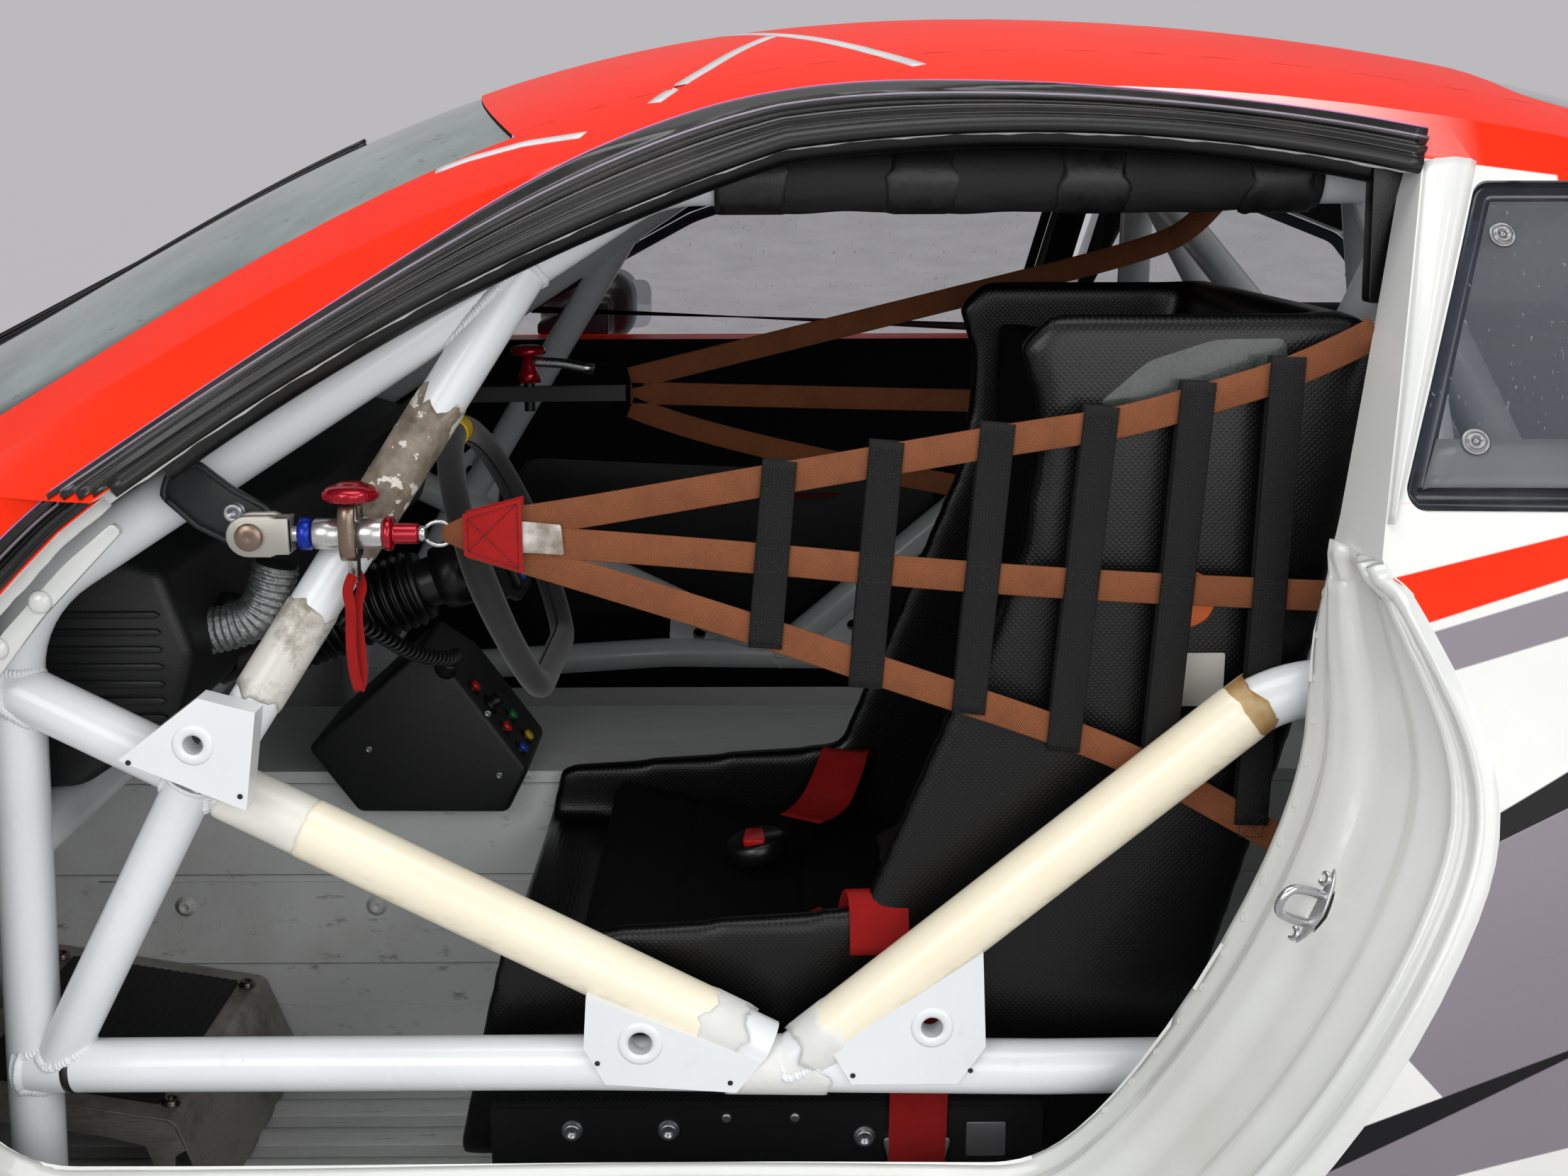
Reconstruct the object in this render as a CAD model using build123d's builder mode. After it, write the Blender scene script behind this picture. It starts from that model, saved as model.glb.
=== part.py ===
from build123d import *
from math import radians, tan
import os

os.makedirs("parts", exist_ok=True)

# The cabin section of a closed race car. +X runs rearward, +Z up, the driver sits at -Y.
# The origin is on the underside of the floor, on the centre line.

# Body shell
front_x = -1060
rear_x = 1000
bulkhead_t = 60
floor_t = 40
lip_z = 120
wide_z = 450
side_wall = 170
belt_wall = 90
rail_wall = 30
roof_wall = 14
cowl_wall = 50
wheelhouse_wall = 330
cabin_toe = 50
middle_y = 490
cowl_x = -840
glass_fit = 0.3
glass_sunk = 3
glass_t = 5

# Sections of the shell: place along X, half widths at the sill, its lip, the widest line,
# the belt and the roof rail, with the heights of belt, rail and crown.
# x, sill_y, lip_y, wide_y, belt_y, belt_z, rail_y, rail_z, crown_z
stations = (
    (front_x, 790, 850, 868, 742, 700, 600, 735, 775),
    (-640, 790, 850, 870, 752, 765, 612, 800, 958),
    (-220, 790, 850, 872, 756, 780, 607, 1020, 1140),
    (230, 790, 850, 876, 760, 790, 615, 1100, 1192),
    (600, 790, 855, 892, 772, 798, 606, 1065, 1160),
    (rear_x, 800, 868, 925, 800, 800, 570, 950, 1030),
)

# Door aperture: edge of the inner flange, then the shut line in the outer skin,
# with the way that each point moves when the door is made smaller than its hole.
# flange_x, flange_z, shut_x, shut_z, in_x, in_z
jamb_front = (
    (-640, 800, -690, 800, 1, 0),
    (-640, 330, -690, 230, 1, 0),
    (-617, 276, -667, 174, 0.7, 0.7),
    (-560, 253, -610, 150, 0, 1),
)
jamb_rear = (
    (179, 253, 150, 150, 0, 1),
    (250, 286, 268, 205, -0.5, 0.9),
    (306, 367, 378, 340, -0.8, 0.6),
    (365, 484, 471, 499, -0.9, 0.4),
    (407, 609, 512, 600, -1, 0.2),
    (418, 690, 509, 687, -1, 0),
    (430, 745, 473, 749, -1, 0),
    (441, 800, 420, 800, -1, 0),
)
flange_y = 690
shut_y = 870
beyond_y = 940

# Upper edge of the aperture, from the front pillar over the rail to the rear pillar:
# x, z, in_x, in_z
header_line = (
    (-626, 672, 0.8, -0.6),
    (-587, 716, 0.7, -0.7),
    (-531, 772, 0.6, -0.8),
    (-267, 942, 0.5, -0.9),
    (15, 1060, 0.2, -1),
    (246, 1072, 0, -1),
    (495, 1042, -1, -1),
)
pillar_foot = (418, 690)
pillar_low = (406, 604)
door_gap = 8
pillar_gap = 20

# Windows
screen_base_x = -800
screen_base_bow = 185
screen_base_y = 560
screen_top_x = -205
screen_top_bow = 85
screen_top_y = 500
backlight_front_x = 640
backlight_rear_x = 950
backlight_y = 470
quarter_outline = ((452, 800), (535, 1030), (640, 1030), (840, 955), (920, 880), (920, 800))
quarter_round = 14
door_window_outline = (
    (-430, 800),
    (-350, 856),
    (-110, 985),
    (0, 1022),
    (246, 1036),
    (430, 1018),
    (385, 800),
)

# Rear wheel arch
arch_x = 1085
arch_z = 225
arch_r = 365
arch_y = 690

# Tunnel and rear shelf
tunnel_half = 125
tunnel_z = 391
tunnel_wall = 12
shelf_line = ((640, 0), (700, 330), (940, 430), (940, 0))

# Roll cage
main_r = 22.5
brace_r = 20
bend_r = 110
foot_t = 6
foot_half = 60

leg_x = -636
leg_y = -612
knee = (-604, -612, 700)
header = (-90, -515, 1032)
hoop_foot_x = 565
hoop_foot_y = 610
hoop_y = 640
hoop_belt_x = 540
hoop_belt_z = 700
hoop_top_x = 515
hoop_top_y = 500
hoop_top_z = 1034
harness_bar_z = 660
stay_foot_x = 880
stay_foot_y = 440

door_bar_high = ((-614, -618, 635), (0, -655, 331))
door_bar_rear = ((10, -655, 309), (396, -660, 636), (535, -640, 645))
door_bar_low = ((-632, -618, 298), (-150, -655, 318), (230, -655, 312), (550, -636, 305))
low_brace = ((-462, -642, 558), (-606, -620, 292))
pillar_brace = ((-185, -533, 977), (-440, -646, 575))
gusset_y = -680
gusset_t = 24
# Plates between the tubes: outline, then the place and radius of the hole.
gussets = (
    (((-505, 590), (-440, 640), (-396, 628), (-408, 548)), (-446, 602), 8),
    (((-146, 388), (-149, 343), (-132, 311), (-25, 303), (-4, 330)), (-103, 347), 10),
    (((174, 425), (178, 343), (156, 310), (69, 310), (52, 340)), (134, 360), 9),
)
pad_r = 30
pad_from = 0.08
pad_to = 0.9
soft_gap = 0.5

# Seat: side outline, the hollow between its sides, and its pads
seat_y = -372
seat_half = 236
seat_wall = 25
seat_outline = (
    (-270, 200),
    (-225, 405),
    (80, 430),
    (135, 570),
    (205, 740),
    (216, 850),
    (199, 904),
    (226, 930),
    (460, 930),
    (492, 910),
    (478, 850),
    (440, 600),
    (330, 200),
)
seat_hollow = ((-400, 350), (-180, 350), (150, 290), (215, 320), (425, 880), (440, 1000), (-400, 1000))
base_pad = ((-176, 350), (148, 291), (150, 335), (-172, 396))
back_pad = ((224, 348), (358, 706), (316, 722), (182, 364))
head_pad = ((236, 770), (375, 770), (415, 878), (236, 890))
head_pad_t = 34
bracket_t = 6
bracket_half = 238
bracket_z = 252

# Belts
belt_t = 3
# Side outline of each strap, then the place of its inner face
belt_runs = (
    (((94, 180), (100, 300), (160, 300), (176, 180)), -614),
    (((70, 398), (92, 440), (150, 440), (128, 380)), -580),
)

# Dashboard, column and steering wheel
dash_half = 550
dash_low_z = 520
dash_line = (
    (-960, 560),
    (-960, 650),
    (-760, 730),
    (-600, 742),
    (-505, 712),
    (-482, 640),
    (-500, 580),
    (-590, dash_low_z),
    (-660, dash_low_z),
)
wheel_at = (-243, -360, 687)
wheel_tilt = 20.4
wheel_half_w = 160
wheel_top = 140
wheel_low = 125
rim_w = 28
rim_t = 24
spoke_w = 42
spoke_t = 8
hub_r = 42
hub_depth = 70
column_r = 24
column_from = hub_depth + 0.3
column_to = 300

# Switch panel, air pipe, foot board
panel_line = ((-332, 511), (-258, 406), (-283, 356), (-445, 357), (-497, 430), (-374, 540))
panel_under = ((-520, 300), (-520, 391.5), (-240, 391.5), (-240, 300))
panel_near_y = -165
panel_far_y = -20
duct_r = 21
duct_route = ((-500, -480, 640), (-455, -480, 650), (-428, -480, 705))
board_line = ((-800, 40), (-800, 190), (-570, 150), (-535, 60), (-535, 40))
board_near_y = -450

# Curly lead from the dashboard to the switch panel
lead_r = 8
lead_route = (
    (-498, -441, 656),
    (-446, -438, 656),
    (-397, -430, 646),
    (-376, -405, 630),
    (-359, -375, 609),
    (-347, -343, 588),
    (-334, -306, 571),
    (-320, -266, 558),
    (-318, -226, 552),
    (-328, -190, 540),
    (-346, -158, 516),
)

# Window net in the driver's door: its plane, then each strap's line and width
net_y = -632
net_t = 2.4
net_w = 25
net_cross_w = 27
net_top = ((-195, 768), (-11, 800), (193, 835), (273, 846), (347, 867), (416, 888), (446, 908))
net_middle = ((-195, 755), (-11, 741), (99, 730), (238, 719), (382, 711), (535, 704))
net_low = ((-195, 742), (-12, 684), (90, 648), (226, 602), (302, 571), (373, 530), (545, 430))
# x and z at the top and at the foot of each upright strap
net_uprights = (
    (11, 816, -1, 670),
    (94, 831, 79, 637),
    (180, 845, 162, 615),
    (260, 858, 239, 583),
    (334, 877, 316, 554),
    (402, 896, 395, 520),
)
latch_y = -632
latch_z = 760
# The latch along x: from, to, radius
latch_steps = (
    (-371, -360, 10),
    (-360, -355, 12.5),
    (-355, -299, 12),
    (-299, -269, 8),
    (-269, -262, 5),
)
clevis_line = ((-420, 746), (-420, 774), (-371, 774), (-371, 746))
knob_x = -324
knob_z = 793
knob_r = 17
tongue_line = ((-262, 752), (-262, 768), (-236, 778), (-236, 742))
bracket_line = ((-474, 788), (-446, 816), (-398, 776), (-398, 744), (-424, 744))

# Net between the seats
centre_net_y = -30
centre_top = ((-150, 816), (193, 900), (420, 956))
centre_middle = ((-150, 800), (213, 791), (470, 785))
centre_low = ((-150, 785), (-24, 728), (540, 640))
centre_latch_line = ((-520, 684), (-520, 700), (-380, 806), (-155, 808), (-155, 792), (-380, 790))
centre_knob_x = -262
net_patch = ((-236, 743), (-236, 777), (-190, 790), (-190, 728))

# Mirror on the right door, wiper, striker and the rubber tube on the rear pillar
mirror_at = (-280, 872, 838)
mirror_size = (150, 170, 108)
mirror_round = 38
door_arm_y = 740
mirror_arm = ((-350, 796), (-350, 818), (-290, 850), (-240, 850), (-240, 796))
wiper_line = ((-1040, -60), (-1040, -40), (-420, -30), (-420, -44))
wiper_low = 2
wiper_high = 16
spindle_at = (-1020, -50)
spindle_z = 760
spindle_h = 55
spindle_r = 10
striker_at = (408, -770, 500)


def ring_section(x, sill_y, lip_y, wide_y, belt_y, belt_z, rail_y, rail_z, crown_z, floor_z):
    """One closed cross-section of the body, drawn at x."""
    with BuildSketch(Plane.YZ.offset(x)) as ring:
        with BuildLine():
            Line((-sill_y, floor_z), (sill_y, floor_z))
            Line((sill_y, floor_z), (lip_y, lip_z))
            ThreePointArc((lip_y, lip_z), (wide_y, wide_z), (belt_y, belt_z))
            Line((belt_y, belt_z), (rail_y, rail_z))
            ThreePointArc((rail_y, rail_z), (0, crown_z), (-rail_y, rail_z))
            Line((-rail_y, rail_z), (-belt_y, belt_z))
            ThreePointArc((-belt_y, belt_z), (-wide_y, wide_z), (-lip_y, lip_z))
            Line((-lip_y, lip_z), (-sill_y, floor_z))
        make_face()
    return ring.sketch


def body_form(floor_z, sides, belt_in, rail_in, roofs, toe=0):
    """The body's form, drawn in by the thickness of each wall, its foot let out by toe."""
    rings = []
    for row, side_in, roof_in in zip(stations, sides, roofs):
        x, sill_y, lip_y, wide_y, belt_y, belt_z, rail_y, rail_z, crown_z = row
        ring = ring_section(
            x,
            sill_y - side_in + toe,
            lip_y - side_in,
            wide_y - side_in,
            belt_y - belt_in,
            belt_z - roof_in,
            rail_y - rail_in,
            rail_z - roof_in,
            crown_z - roof_in,
            floor_z,
        )
        rings.append(ring)
    with BuildPart() as form:
        loft(sections=rings)
    return form.part


def jamb_face(y, step, gap):
    """The aperture's outline at y, step of the way from the flange to the shut line."""
    places = [
        (
            flange_x + step * (shut_x - flange_x) + gap * in_x,
            flange_z + step * (shut_z - flange_z) + gap * in_z,
        )
        for flange_x, flange_z, shut_x, shut_z, in_x, in_z in jamb_front + jamb_rear
    ]
    rear = places[len(jamb_front) :]
    last_run = (rear[-1][0] - rear[-2][0], rear[-1][1] - rear[-2][1])
    with BuildSketch(Plane.XZ.offset(y)) as outline:
        with BuildLine():
            Line(places[0], places[1])
            ThreePointArc(places[1], places[2], places[3])
            Line(places[3], rear[0])
            Spline(*rear, tangents=((1, 0), last_run))
            Line(rear[-1], places[0])
        make_face()
    return outline.sketch


def aperture(gap, rear_gap):
    """The space of the left door: its hole, or with a gap the door's own blank."""
    top = [(x + gap * in_x, z + gap * in_z) for x, z, in_x, in_z in header_line]
    low_front = (jamb_front[1][0] + gap, pillar_low[1] + gap)
    low_rear = (pillar_low[0] - rear_gap, pillar_low[1] + gap)
    foot = (pillar_foot[0] - rear_gap, pillar_foot[1])
    top[-1] = (header_line[-1][0] - rear_gap, top[-1][1])
    with BuildPart() as space:
        flange = jamb_face(flange_y, 0, gap)
        outside = jamb_face(beyond_y, (beyond_y - flange_y) / (shut_y - flange_y), gap)
        loft(sections=[flange, outside], ruled=True)
        with BuildSketch(Plane.XZ.offset(middle_y - 60)):
            with BuildLine():
                ThreePointArc(top[0], top[1], top[2])
                ThreePointArc(top[2], top[3], top[4])
                ThreePointArc(top[4], top[5], top[6])
                Line(top[6], foot)
                Line(foot, low_rear)
                Line(low_rear, low_front)
                Line(low_front, top[0])
            make_face()
        extrude(amount=beyond_y - middle_y + 60)
    return space.part


def tube(route, radius, bend):
    """A tube along straight runs joined by arcs."""
    with BuildPart() as rod:
        with BuildLine() as path:
            if len(route) > 2:
                FilletPolyline(*route, radius=bend)
            else:
                Line(*route)
        with BuildSketch(Plane(origin=path.line @ 0, z_dir=path.line % 0)):
            Circle(radius)
        sweep()
    return rod.part


def other_side(part):
    """The same piece for the passenger's side."""
    with BuildPart() as copy:
        add(part)
        mirror(about=Plane.XZ, mode=Mode.REPLACE)
    return copy.part


def save(part, name):
    part.label = name
    export_step(part, f"parts/{name}.step")


# Body shell
skin = body_form(0, [0] * 6, 0, 0, [0] * 6)
cabin_sides = [side_wall] * 4 + [side_wall + 15, wheelhouse_wall]
cabin_roofs = [cowl_wall] + [roof_wall] * 5
cabin = body_form(floor_t, cabin_sides, belt_wall, rail_wall, cabin_roofs, cabin_toe)
door_hole = aperture(0, 0)

with BuildPart() as screen_space:
    with BuildSketch(Plane.XY.offset(600)):
        with BuildLine():
            ThreePointArc(
                (screen_base_x, -screen_base_y),
                (screen_base_x - screen_base_bow, 0),
                (screen_base_x, screen_base_y),
            )
            Line((screen_base_x, screen_base_y), (screen_top_x, screen_top_y))
            ThreePointArc(
                (screen_top_x, screen_top_y),
                (screen_top_x - screen_top_bow, 0),
                (screen_top_x, -screen_top_y),
            )
            Line((screen_top_x, -screen_top_y), (screen_base_x, -screen_base_y))
        make_face()
    extrude(amount=700)

with BuildPart() as backlight_space:
    with BuildSketch(Plane.XY.offset(700)):
        with BuildLine():
            Polyline(
                (backlight_front_x, -backlight_y),
                (backlight_front_x, backlight_y),
                (backlight_rear_x, backlight_y),
                (backlight_rear_x, -backlight_y),
                close=True,
            )
        make_face()
        fillet(vertices(), radius=40)
    extrude(amount=600)

with BuildPart() as quarter_space:
    with BuildSketch(Plane.XZ.offset(middle_y)):
        with BuildLine():
            Polyline(*quarter_outline, close=True)
        make_face()
        fillet(vertices(), radius=quarter_round)
    extrude(amount=beyond_y - middle_y)

with BuildPart() as arch_space:
    with BuildSketch(Plane.XZ.offset(arch_y)):
        with Locations((arch_x, arch_z)):
            Circle(arch_r)
    extrude(amount=beyond_y - arch_y + 100)

# Behind the door's flange, below its sill rail, where the wall stands a little further in
with BuildPart() as flange_space:
    with Locations((-465, -flange_y, 452)):
        Box(350, 24, 304)

with BuildPart() as cabin_space:
    add(cabin)
    with Locations(((front_x + rear_x) / 2, 0, 600)):
        Box(rear_x - front_x - 2 * bulkhead_t, 2000, 1400, mode=Mode.INTERSECT)

with BuildPart() as shell:
    add(skin)
    add(cabin_space.part, mode=Mode.SUBTRACT)
    add(screen_space.part, mode=Mode.SUBTRACT)
    add(backlight_space.part, mode=Mode.SUBTRACT)
    for side_part in (door_hole, flange_space.part, quarter_space.part, arch_space.part):
        add(side_part, mode=Mode.SUBTRACT)
        add(other_side(side_part), mode=Mode.SUBTRACT)

with BuildPart() as side_frame_left:
    add(shell.part)
    split(bisect_by=Plane.XZ.offset(middle_y), keep=Keep.TOP)
save(side_frame_left.part, "side_frame_left")
side_frame_right = other_side(side_frame_left.part)
save(side_frame_right, "side_frame_right")

# Pieces between the side frames: each is the shell inside one box.
# name, x from and to, z from and to
middle_pieces = (
    ("front_bulkhead", front_x, cowl_x, 0, 900),
    ("floor_pan", cowl_x, rear_x - bulkhead_t, 0, 300),
    ("rear_bulkhead", rear_x - bulkhead_t, rear_x, 0, 1200),
    ("roof_skin", cowl_x, rear_x - bulkhead_t, 600, 1300),
)
middle = {}
for name, x_from, x_to, z_from, z_to in middle_pieces:
    with BuildPart() as piece:
        add(shell.part)
        with Locations(((x_from + x_to) / 2, 0, (z_from + z_to) / 2)):
            Box(x_to - x_from, 2 * middle_y, z_to - z_from, mode=Mode.INTERSECT)
    save(piece.part, name)
    middle[name] = piece.part
front_bulkhead = middle["front_bulkhead"]

# Windows
pane_out = body_form(0, [glass_sunk] * 6, glass_sunk, glass_sunk, [glass_sunk] * 6)
pane_in_by = glass_sunk + glass_t
pane_in = body_form(0, [pane_in_by] * 6, pane_in_by, pane_in_by, [pane_in_by] * 6)


def pane(space):
    """Glass that fills a window opening, with its fitting gap all round."""
    with BuildPart() as glass:
        add(pane_out)
        add(pane_in, mode=Mode.SUBTRACT)
        add(space, mode=Mode.INTERSECT)
    return glass.part


save(pane(screen_space.part), "windscreen")
save(pane(backlight_space.part), "rear_window")
quarter_window_left = pane(quarter_space.part)
save(quarter_window_left, "quarter_window_left")
save(other_side(quarter_window_left), "quarter_window_right")

# Right door, drawn on the left and turned over at the end
with BuildPart() as door_window_space:
    with BuildSketch(Plane.XZ.offset(middle_y)):
        with BuildLine():
            Polyline(*door_window_outline, close=True)
        make_face()
        fillet(vertices(), radius=quarter_round)
    extrude(amount=beyond_y - middle_y)

with BuildPart() as door_blank:
    add(skin)
    add(aperture(door_gap, pillar_gap), mode=Mode.INTERSECT)
    add(cabin_space.part, mode=Mode.SUBTRACT)
    add(door_window_space.part, mode=Mode.SUBTRACT)
save(other_side(door_blank.part), "right_door")
save(other_side(pane(door_window_space.part)), "right_door_window")

# Tunnel and rear shelf
with BuildPart() as centre_tunnel:
    with BuildSketch(Plane.YZ.offset(front_x + bulkhead_t)):
        with Locations((0, (floor_t + tunnel_z) / 2)):
            Rectangle(2 * tunnel_half, tunnel_z - floor_t)
        with Locations((0, (floor_t + tunnel_z - tunnel_wall) / 2)):
            Rectangle(
                2 * (tunnel_half - tunnel_wall),
                tunnel_z - floor_t - tunnel_wall,
                mode=Mode.SUBTRACT,
            )
    extrude(amount=shelf_line[0][0] - front_x - bulkhead_t)
save(centre_tunnel.part, "centre_tunnel")

with BuildPart() as rear_shelf:
    with BuildSketch(Plane.XZ.offset(-beyond_y)):
        with BuildLine():
            Polyline(*shelf_line, close=True)
        make_face()
    extrude(amount=2 * beyond_y)
    add(cabin_space.part, mode=Mode.INTERSECT)
save(rear_shelf.part, "rear_shelf")

# Roll cage: the tubes start inside their foot plates
foot_top = floor_t + foot_t / 2
with BuildPart() as cage_main_hoop:
    hoop_route = (
        (hoop_foot_x, -hoop_foot_y, foot_top),
        (hoop_belt_x, -hoop_y, hoop_belt_z),
        (hoop_top_x, -hoop_top_y, hoop_top_z),
        (hoop_top_x, hoop_top_y, hoop_top_z),
        (hoop_belt_x, hoop_y, hoop_belt_z),
        (hoop_foot_x, hoop_foot_y, foot_top),
    )
    add(tube(hoop_route, main_r, bend_r))
    bar_x = hoop_belt_x
    add(tube(((bar_x, -hoop_y, harness_bar_z), (bar_x, hoop_y, harness_bar_z)), main_r, 0))
    low_corner = (hoop_foot_x - 5, hoop_foot_y, 140)
    add(tube((low_corner, (hoop_top_x + 3, -hoop_top_y - 20, hoop_top_z - 60)), brace_r, 0))
    with Locations(
        (hoop_foot_x, -hoop_foot_y, floor_t + foot_t / 2),
        (hoop_foot_x, hoop_foot_y, floor_t + foot_t / 2),
    ):
        Box(2 * foot_half, foot_half, foot_t)
save(cage_main_hoop.part, "cage_main_hoop")

with BuildPart() as cage_leg_left:
    leg_route = (
        (leg_x, leg_y, foot_top),
        knee,
        header,
        (hoop_top_x, -hoop_top_y, hoop_top_z),
    )
    add(tube(leg_route, main_r, bend_r))
    add(tube(pillar_brace, brace_r, 0))
    with Locations((leg_x, leg_y, floor_t + foot_t / 2)):
        Box(2 * foot_half, foot_half, foot_t)
    add(cage_main_hoop.part, mode=Mode.SUBTRACT)

with BuildPart() as cage_door_bars_left:
    add(tube(door_bar_high, main_r, 0))
    add(tube(door_bar_rear, main_r, bend_r))
    add(tube(door_bar_low, main_r, 4 * bend_r))
    add(tube(low_brace, brace_r, 0))
    for outline, hole, hole_r in gussets:
        with BuildSketch(Plane.XZ.offset(-gusset_y - gusset_t)):
            with BuildLine():
                Polyline(*outline, close=True)
            make_face()
            with Locations(hole):
                Circle(hole_r, mode=Mode.SUBTRACT)
        extrude(amount=gusset_t)
    add(cage_main_hoop.part, mode=Mode.SUBTRACT)
    add(cage_leg_left.part, mode=Mode.SUBTRACT)

save(cage_leg_left.part, "cage_leg_left")
save(other_side(cage_leg_left.part), "cage_leg_right")
save(cage_door_bars_left.part, "cage_door_bars_left")
save(other_side(cage_door_bars_left.part), "cage_door_bars_right")

with BuildPart() as cage_cross_bars:
    head_x, head_y, head_z = header
    add(tube(((head_x, head_y, head_z), (head_x, -head_y, head_z)), main_r, 0))
    dash_bar_x = leg_x + 22
    dash_bar_z = dash_low_z - main_r - glass_fit
    add(tube(((dash_bar_x, leg_y, dash_bar_z), (dash_bar_x, -leg_y, dash_bar_z)), main_r, 0))
    add(cage_leg_left.part, mode=Mode.SUBTRACT)
    add(other_side(cage_leg_left.part), mode=Mode.SUBTRACT)
save(cage_cross_bars.part, "cage_cross_bars")

with BuildPart() as cage_rear_stays:
    top = (hoop_top_x, hoop_top_y - 60, hoop_top_z)
    foot = (stay_foot_x, stay_foot_y, shelf_line[2][1] - 30)
    add(tube((top, foot), main_r, 0))
    add(tube(((top[0], -top[1], top[2]), (foot[0], -foot[1], foot[2])), main_r, 0))
    add(tube(((top[0], -top[1], top[2]), foot), brace_r, 0))
    add(tube((top, (foot[0], -foot[1], foot[2])), brace_r, 0))
    add(cage_main_hoop.part, mode=Mode.SUBTRACT)
    add(rear_shelf.part, mode=Mode.SUBTRACT)
save(cage_rear_stays.part, "cage_rear_stays")

roof_bar = Line(header, (hoop_top_x, -hoop_top_y, hoop_top_z))
with BuildPart() as cage_padding:
    pad_ends = (roof_bar @ pad_from, roof_bar @ pad_to)
    add(tube(pad_ends, pad_r, 0))
    add(tube((roof_bar @ 0, roof_bar @ 1), main_r + soft_gap, 0), mode=Mode.SUBTRACT)
    mirror(about=Plane.XZ)
save(cage_padding.part, "cage_padding")


def slab(outline, near_y, far_y):
    """A plate or block of one side outline, from near_y to far_y."""
    with BuildPart() as block:
        with BuildSketch(Plane.XZ.offset(-far_y)):
            with BuildLine():
                Polyline(*outline, close=True)
            make_face()
        extrude(amount=far_y - near_y)
    return block.part


# Seat
near_side = seat_y - seat_half
far_side = seat_y + seat_half
with BuildPart() as seat_shell:
    add(slab(seat_outline, near_side, far_side))
    inside = slab(seat_hollow, near_side + seat_wall, far_side - seat_wall)
    add(inside, mode=Mode.SUBTRACT)
save(seat_shell.part, "seat_shell")

pad_near = near_side + seat_wall + soft_gap
pad_far = far_side - seat_wall - soft_gap
save(slab(base_pad, pad_near, pad_far), "seat_base_cushion")
save(slab(back_pad, pad_near, pad_far), "seat_back_cushion")
with BuildPart() as seat_head_pads:
    add(slab(head_pad, pad_near, pad_near + head_pad_t))
    add(slab(head_pad, pad_far - head_pad_t, pad_far))
save(seat_head_pads.part, "seat_head_pads")

bracket_profile = (
    (-bracket_half, floor_t),
    (-bracket_half, bracket_z),
    (bracket_half, bracket_z),
    (bracket_half, floor_t),
)
with BuildPart() as seat_brackets:
    add(slab(bracket_profile, near_side - bracket_t, near_side))
    add(slab(bracket_profile, far_side, far_side + bracket_t))
save(seat_brackets.part, "seat_brackets")

# Belts: a lap strap over the near bolster, one inside it, one over the far bolster
with BuildPart() as harness_belts:
    for outline, belt_y in belt_runs:
        add(slab(outline, belt_y - belt_t, belt_y))
save(harness_belts.part, "harness_belts")

# Dashboard
with BuildPart() as dashboard:
    add(slab(dash_line, -dash_half, dash_half))
save(dashboard.part, "dashboard")

# Steering wheel on its tilted column
wheel_plane = Plane(
    origin=wheel_at,
    x_dir=(0, 1, 0),
    z_dir=Vector(1, 0, 0).rotate(Axis.Y, -wheel_tilt),
)
with BuildPart() as steering_wheel:
    with BuildSketch(wheel_plane.offset(-rim_t / 2)):
        with BuildLine():
            ThreePointArc(
                (-wheel_half_w * 0.8, -wheel_low),
                (-wheel_half_w, 0),
                (0, wheel_top),
            )
            ThreePointArc(
                (0, wheel_top),
                (wheel_half_w, 0),
                (wheel_half_w * 0.8, -wheel_low),
            )
            Line((wheel_half_w * 0.8, -wheel_low), (-wheel_half_w * 0.8, -wheel_low))
        make_face()
        fillet(vertices().group_by(Axis.Z)[0], radius=30)
        offset(amount=-rim_w, mode=Mode.SUBTRACT)
    extrude(amount=rim_t)
    chamfer(edges(), length=6)
    with BuildSketch(wheel_plane.offset(-spoke_t / 2)):
        Rectangle(2 * wheel_half_w - rim_w, spoke_w)
    extrude(amount=spoke_t)
    with BuildSketch(wheel_plane.offset(-hub_depth)):
        Circle(hub_r)
    extrude(amount=hub_depth + rim_t / 2)
save(steering_wheel.part, "steering_wheel")

with BuildPart() as steering_column:
    with BuildSketch(wheel_plane.offset(-column_to)):
        Circle(column_r)
    extrude(amount=column_to - column_from)
    add(dashboard.part, mode=Mode.SUBTRACT)
save(steering_column.part, "steering_column")

# Switch panel on the tunnel
with BuildPart() as switch_panel:
    add(slab(panel_line, panel_near_y, panel_far_y))
    add(slab(panel_under, -tunnel_half - soft_gap, tunnel_half), mode=Mode.SUBTRACT)
save(switch_panel.part, "switch_panel")

with BuildPart() as air_duct:
    add(tube(duct_route, duct_r, 25))
    add(dashboard.part, mode=Mode.SUBTRACT)
save(air_duct.part, "air_duct")
save(slab(board_line, board_near_y, -tunnel_half), "foot_board")


def lead_radii(route):
    """The bend at each corner: as large as its two runs allow."""
    radii = []
    for before, corner, after in zip(route, route[1:], route[2:]):
        run_in = Vector(corner) - Vector(before)
        run_out = Vector(after) - Vector(corner)
        half_turn = run_in.get_angle(run_out) / 2
        shorter = min(run_in.length, run_out.length)
        radii.append(0.45 * shorter / tan(radians(half_turn)))
    return radii


lead_bends = lead_radii(lead_route)
print("lead bends", [round(bend) for bend in lead_bends])
with BuildPart() as curly_lead:
    add(tube(lead_route, lead_r, lead_bends))
    add(dashboard.part, mode=Mode.SUBTRACT)
    add(switch_panel.part, mode=Mode.SUBTRACT)
save(curly_lead.part, "curly_lead")


def strap(line, width, centre_y):
    """Webbing laid flat along a line, as one plate."""
    with BuildPart() as webbing:
        with BuildSketch(Plane.XZ.offset(-centre_y - net_t / 2)):
            with BuildLine():
                Polyline(*line)
            trace(line_width=width)
        extrude(amount=net_t)
    return webbing.part


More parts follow.
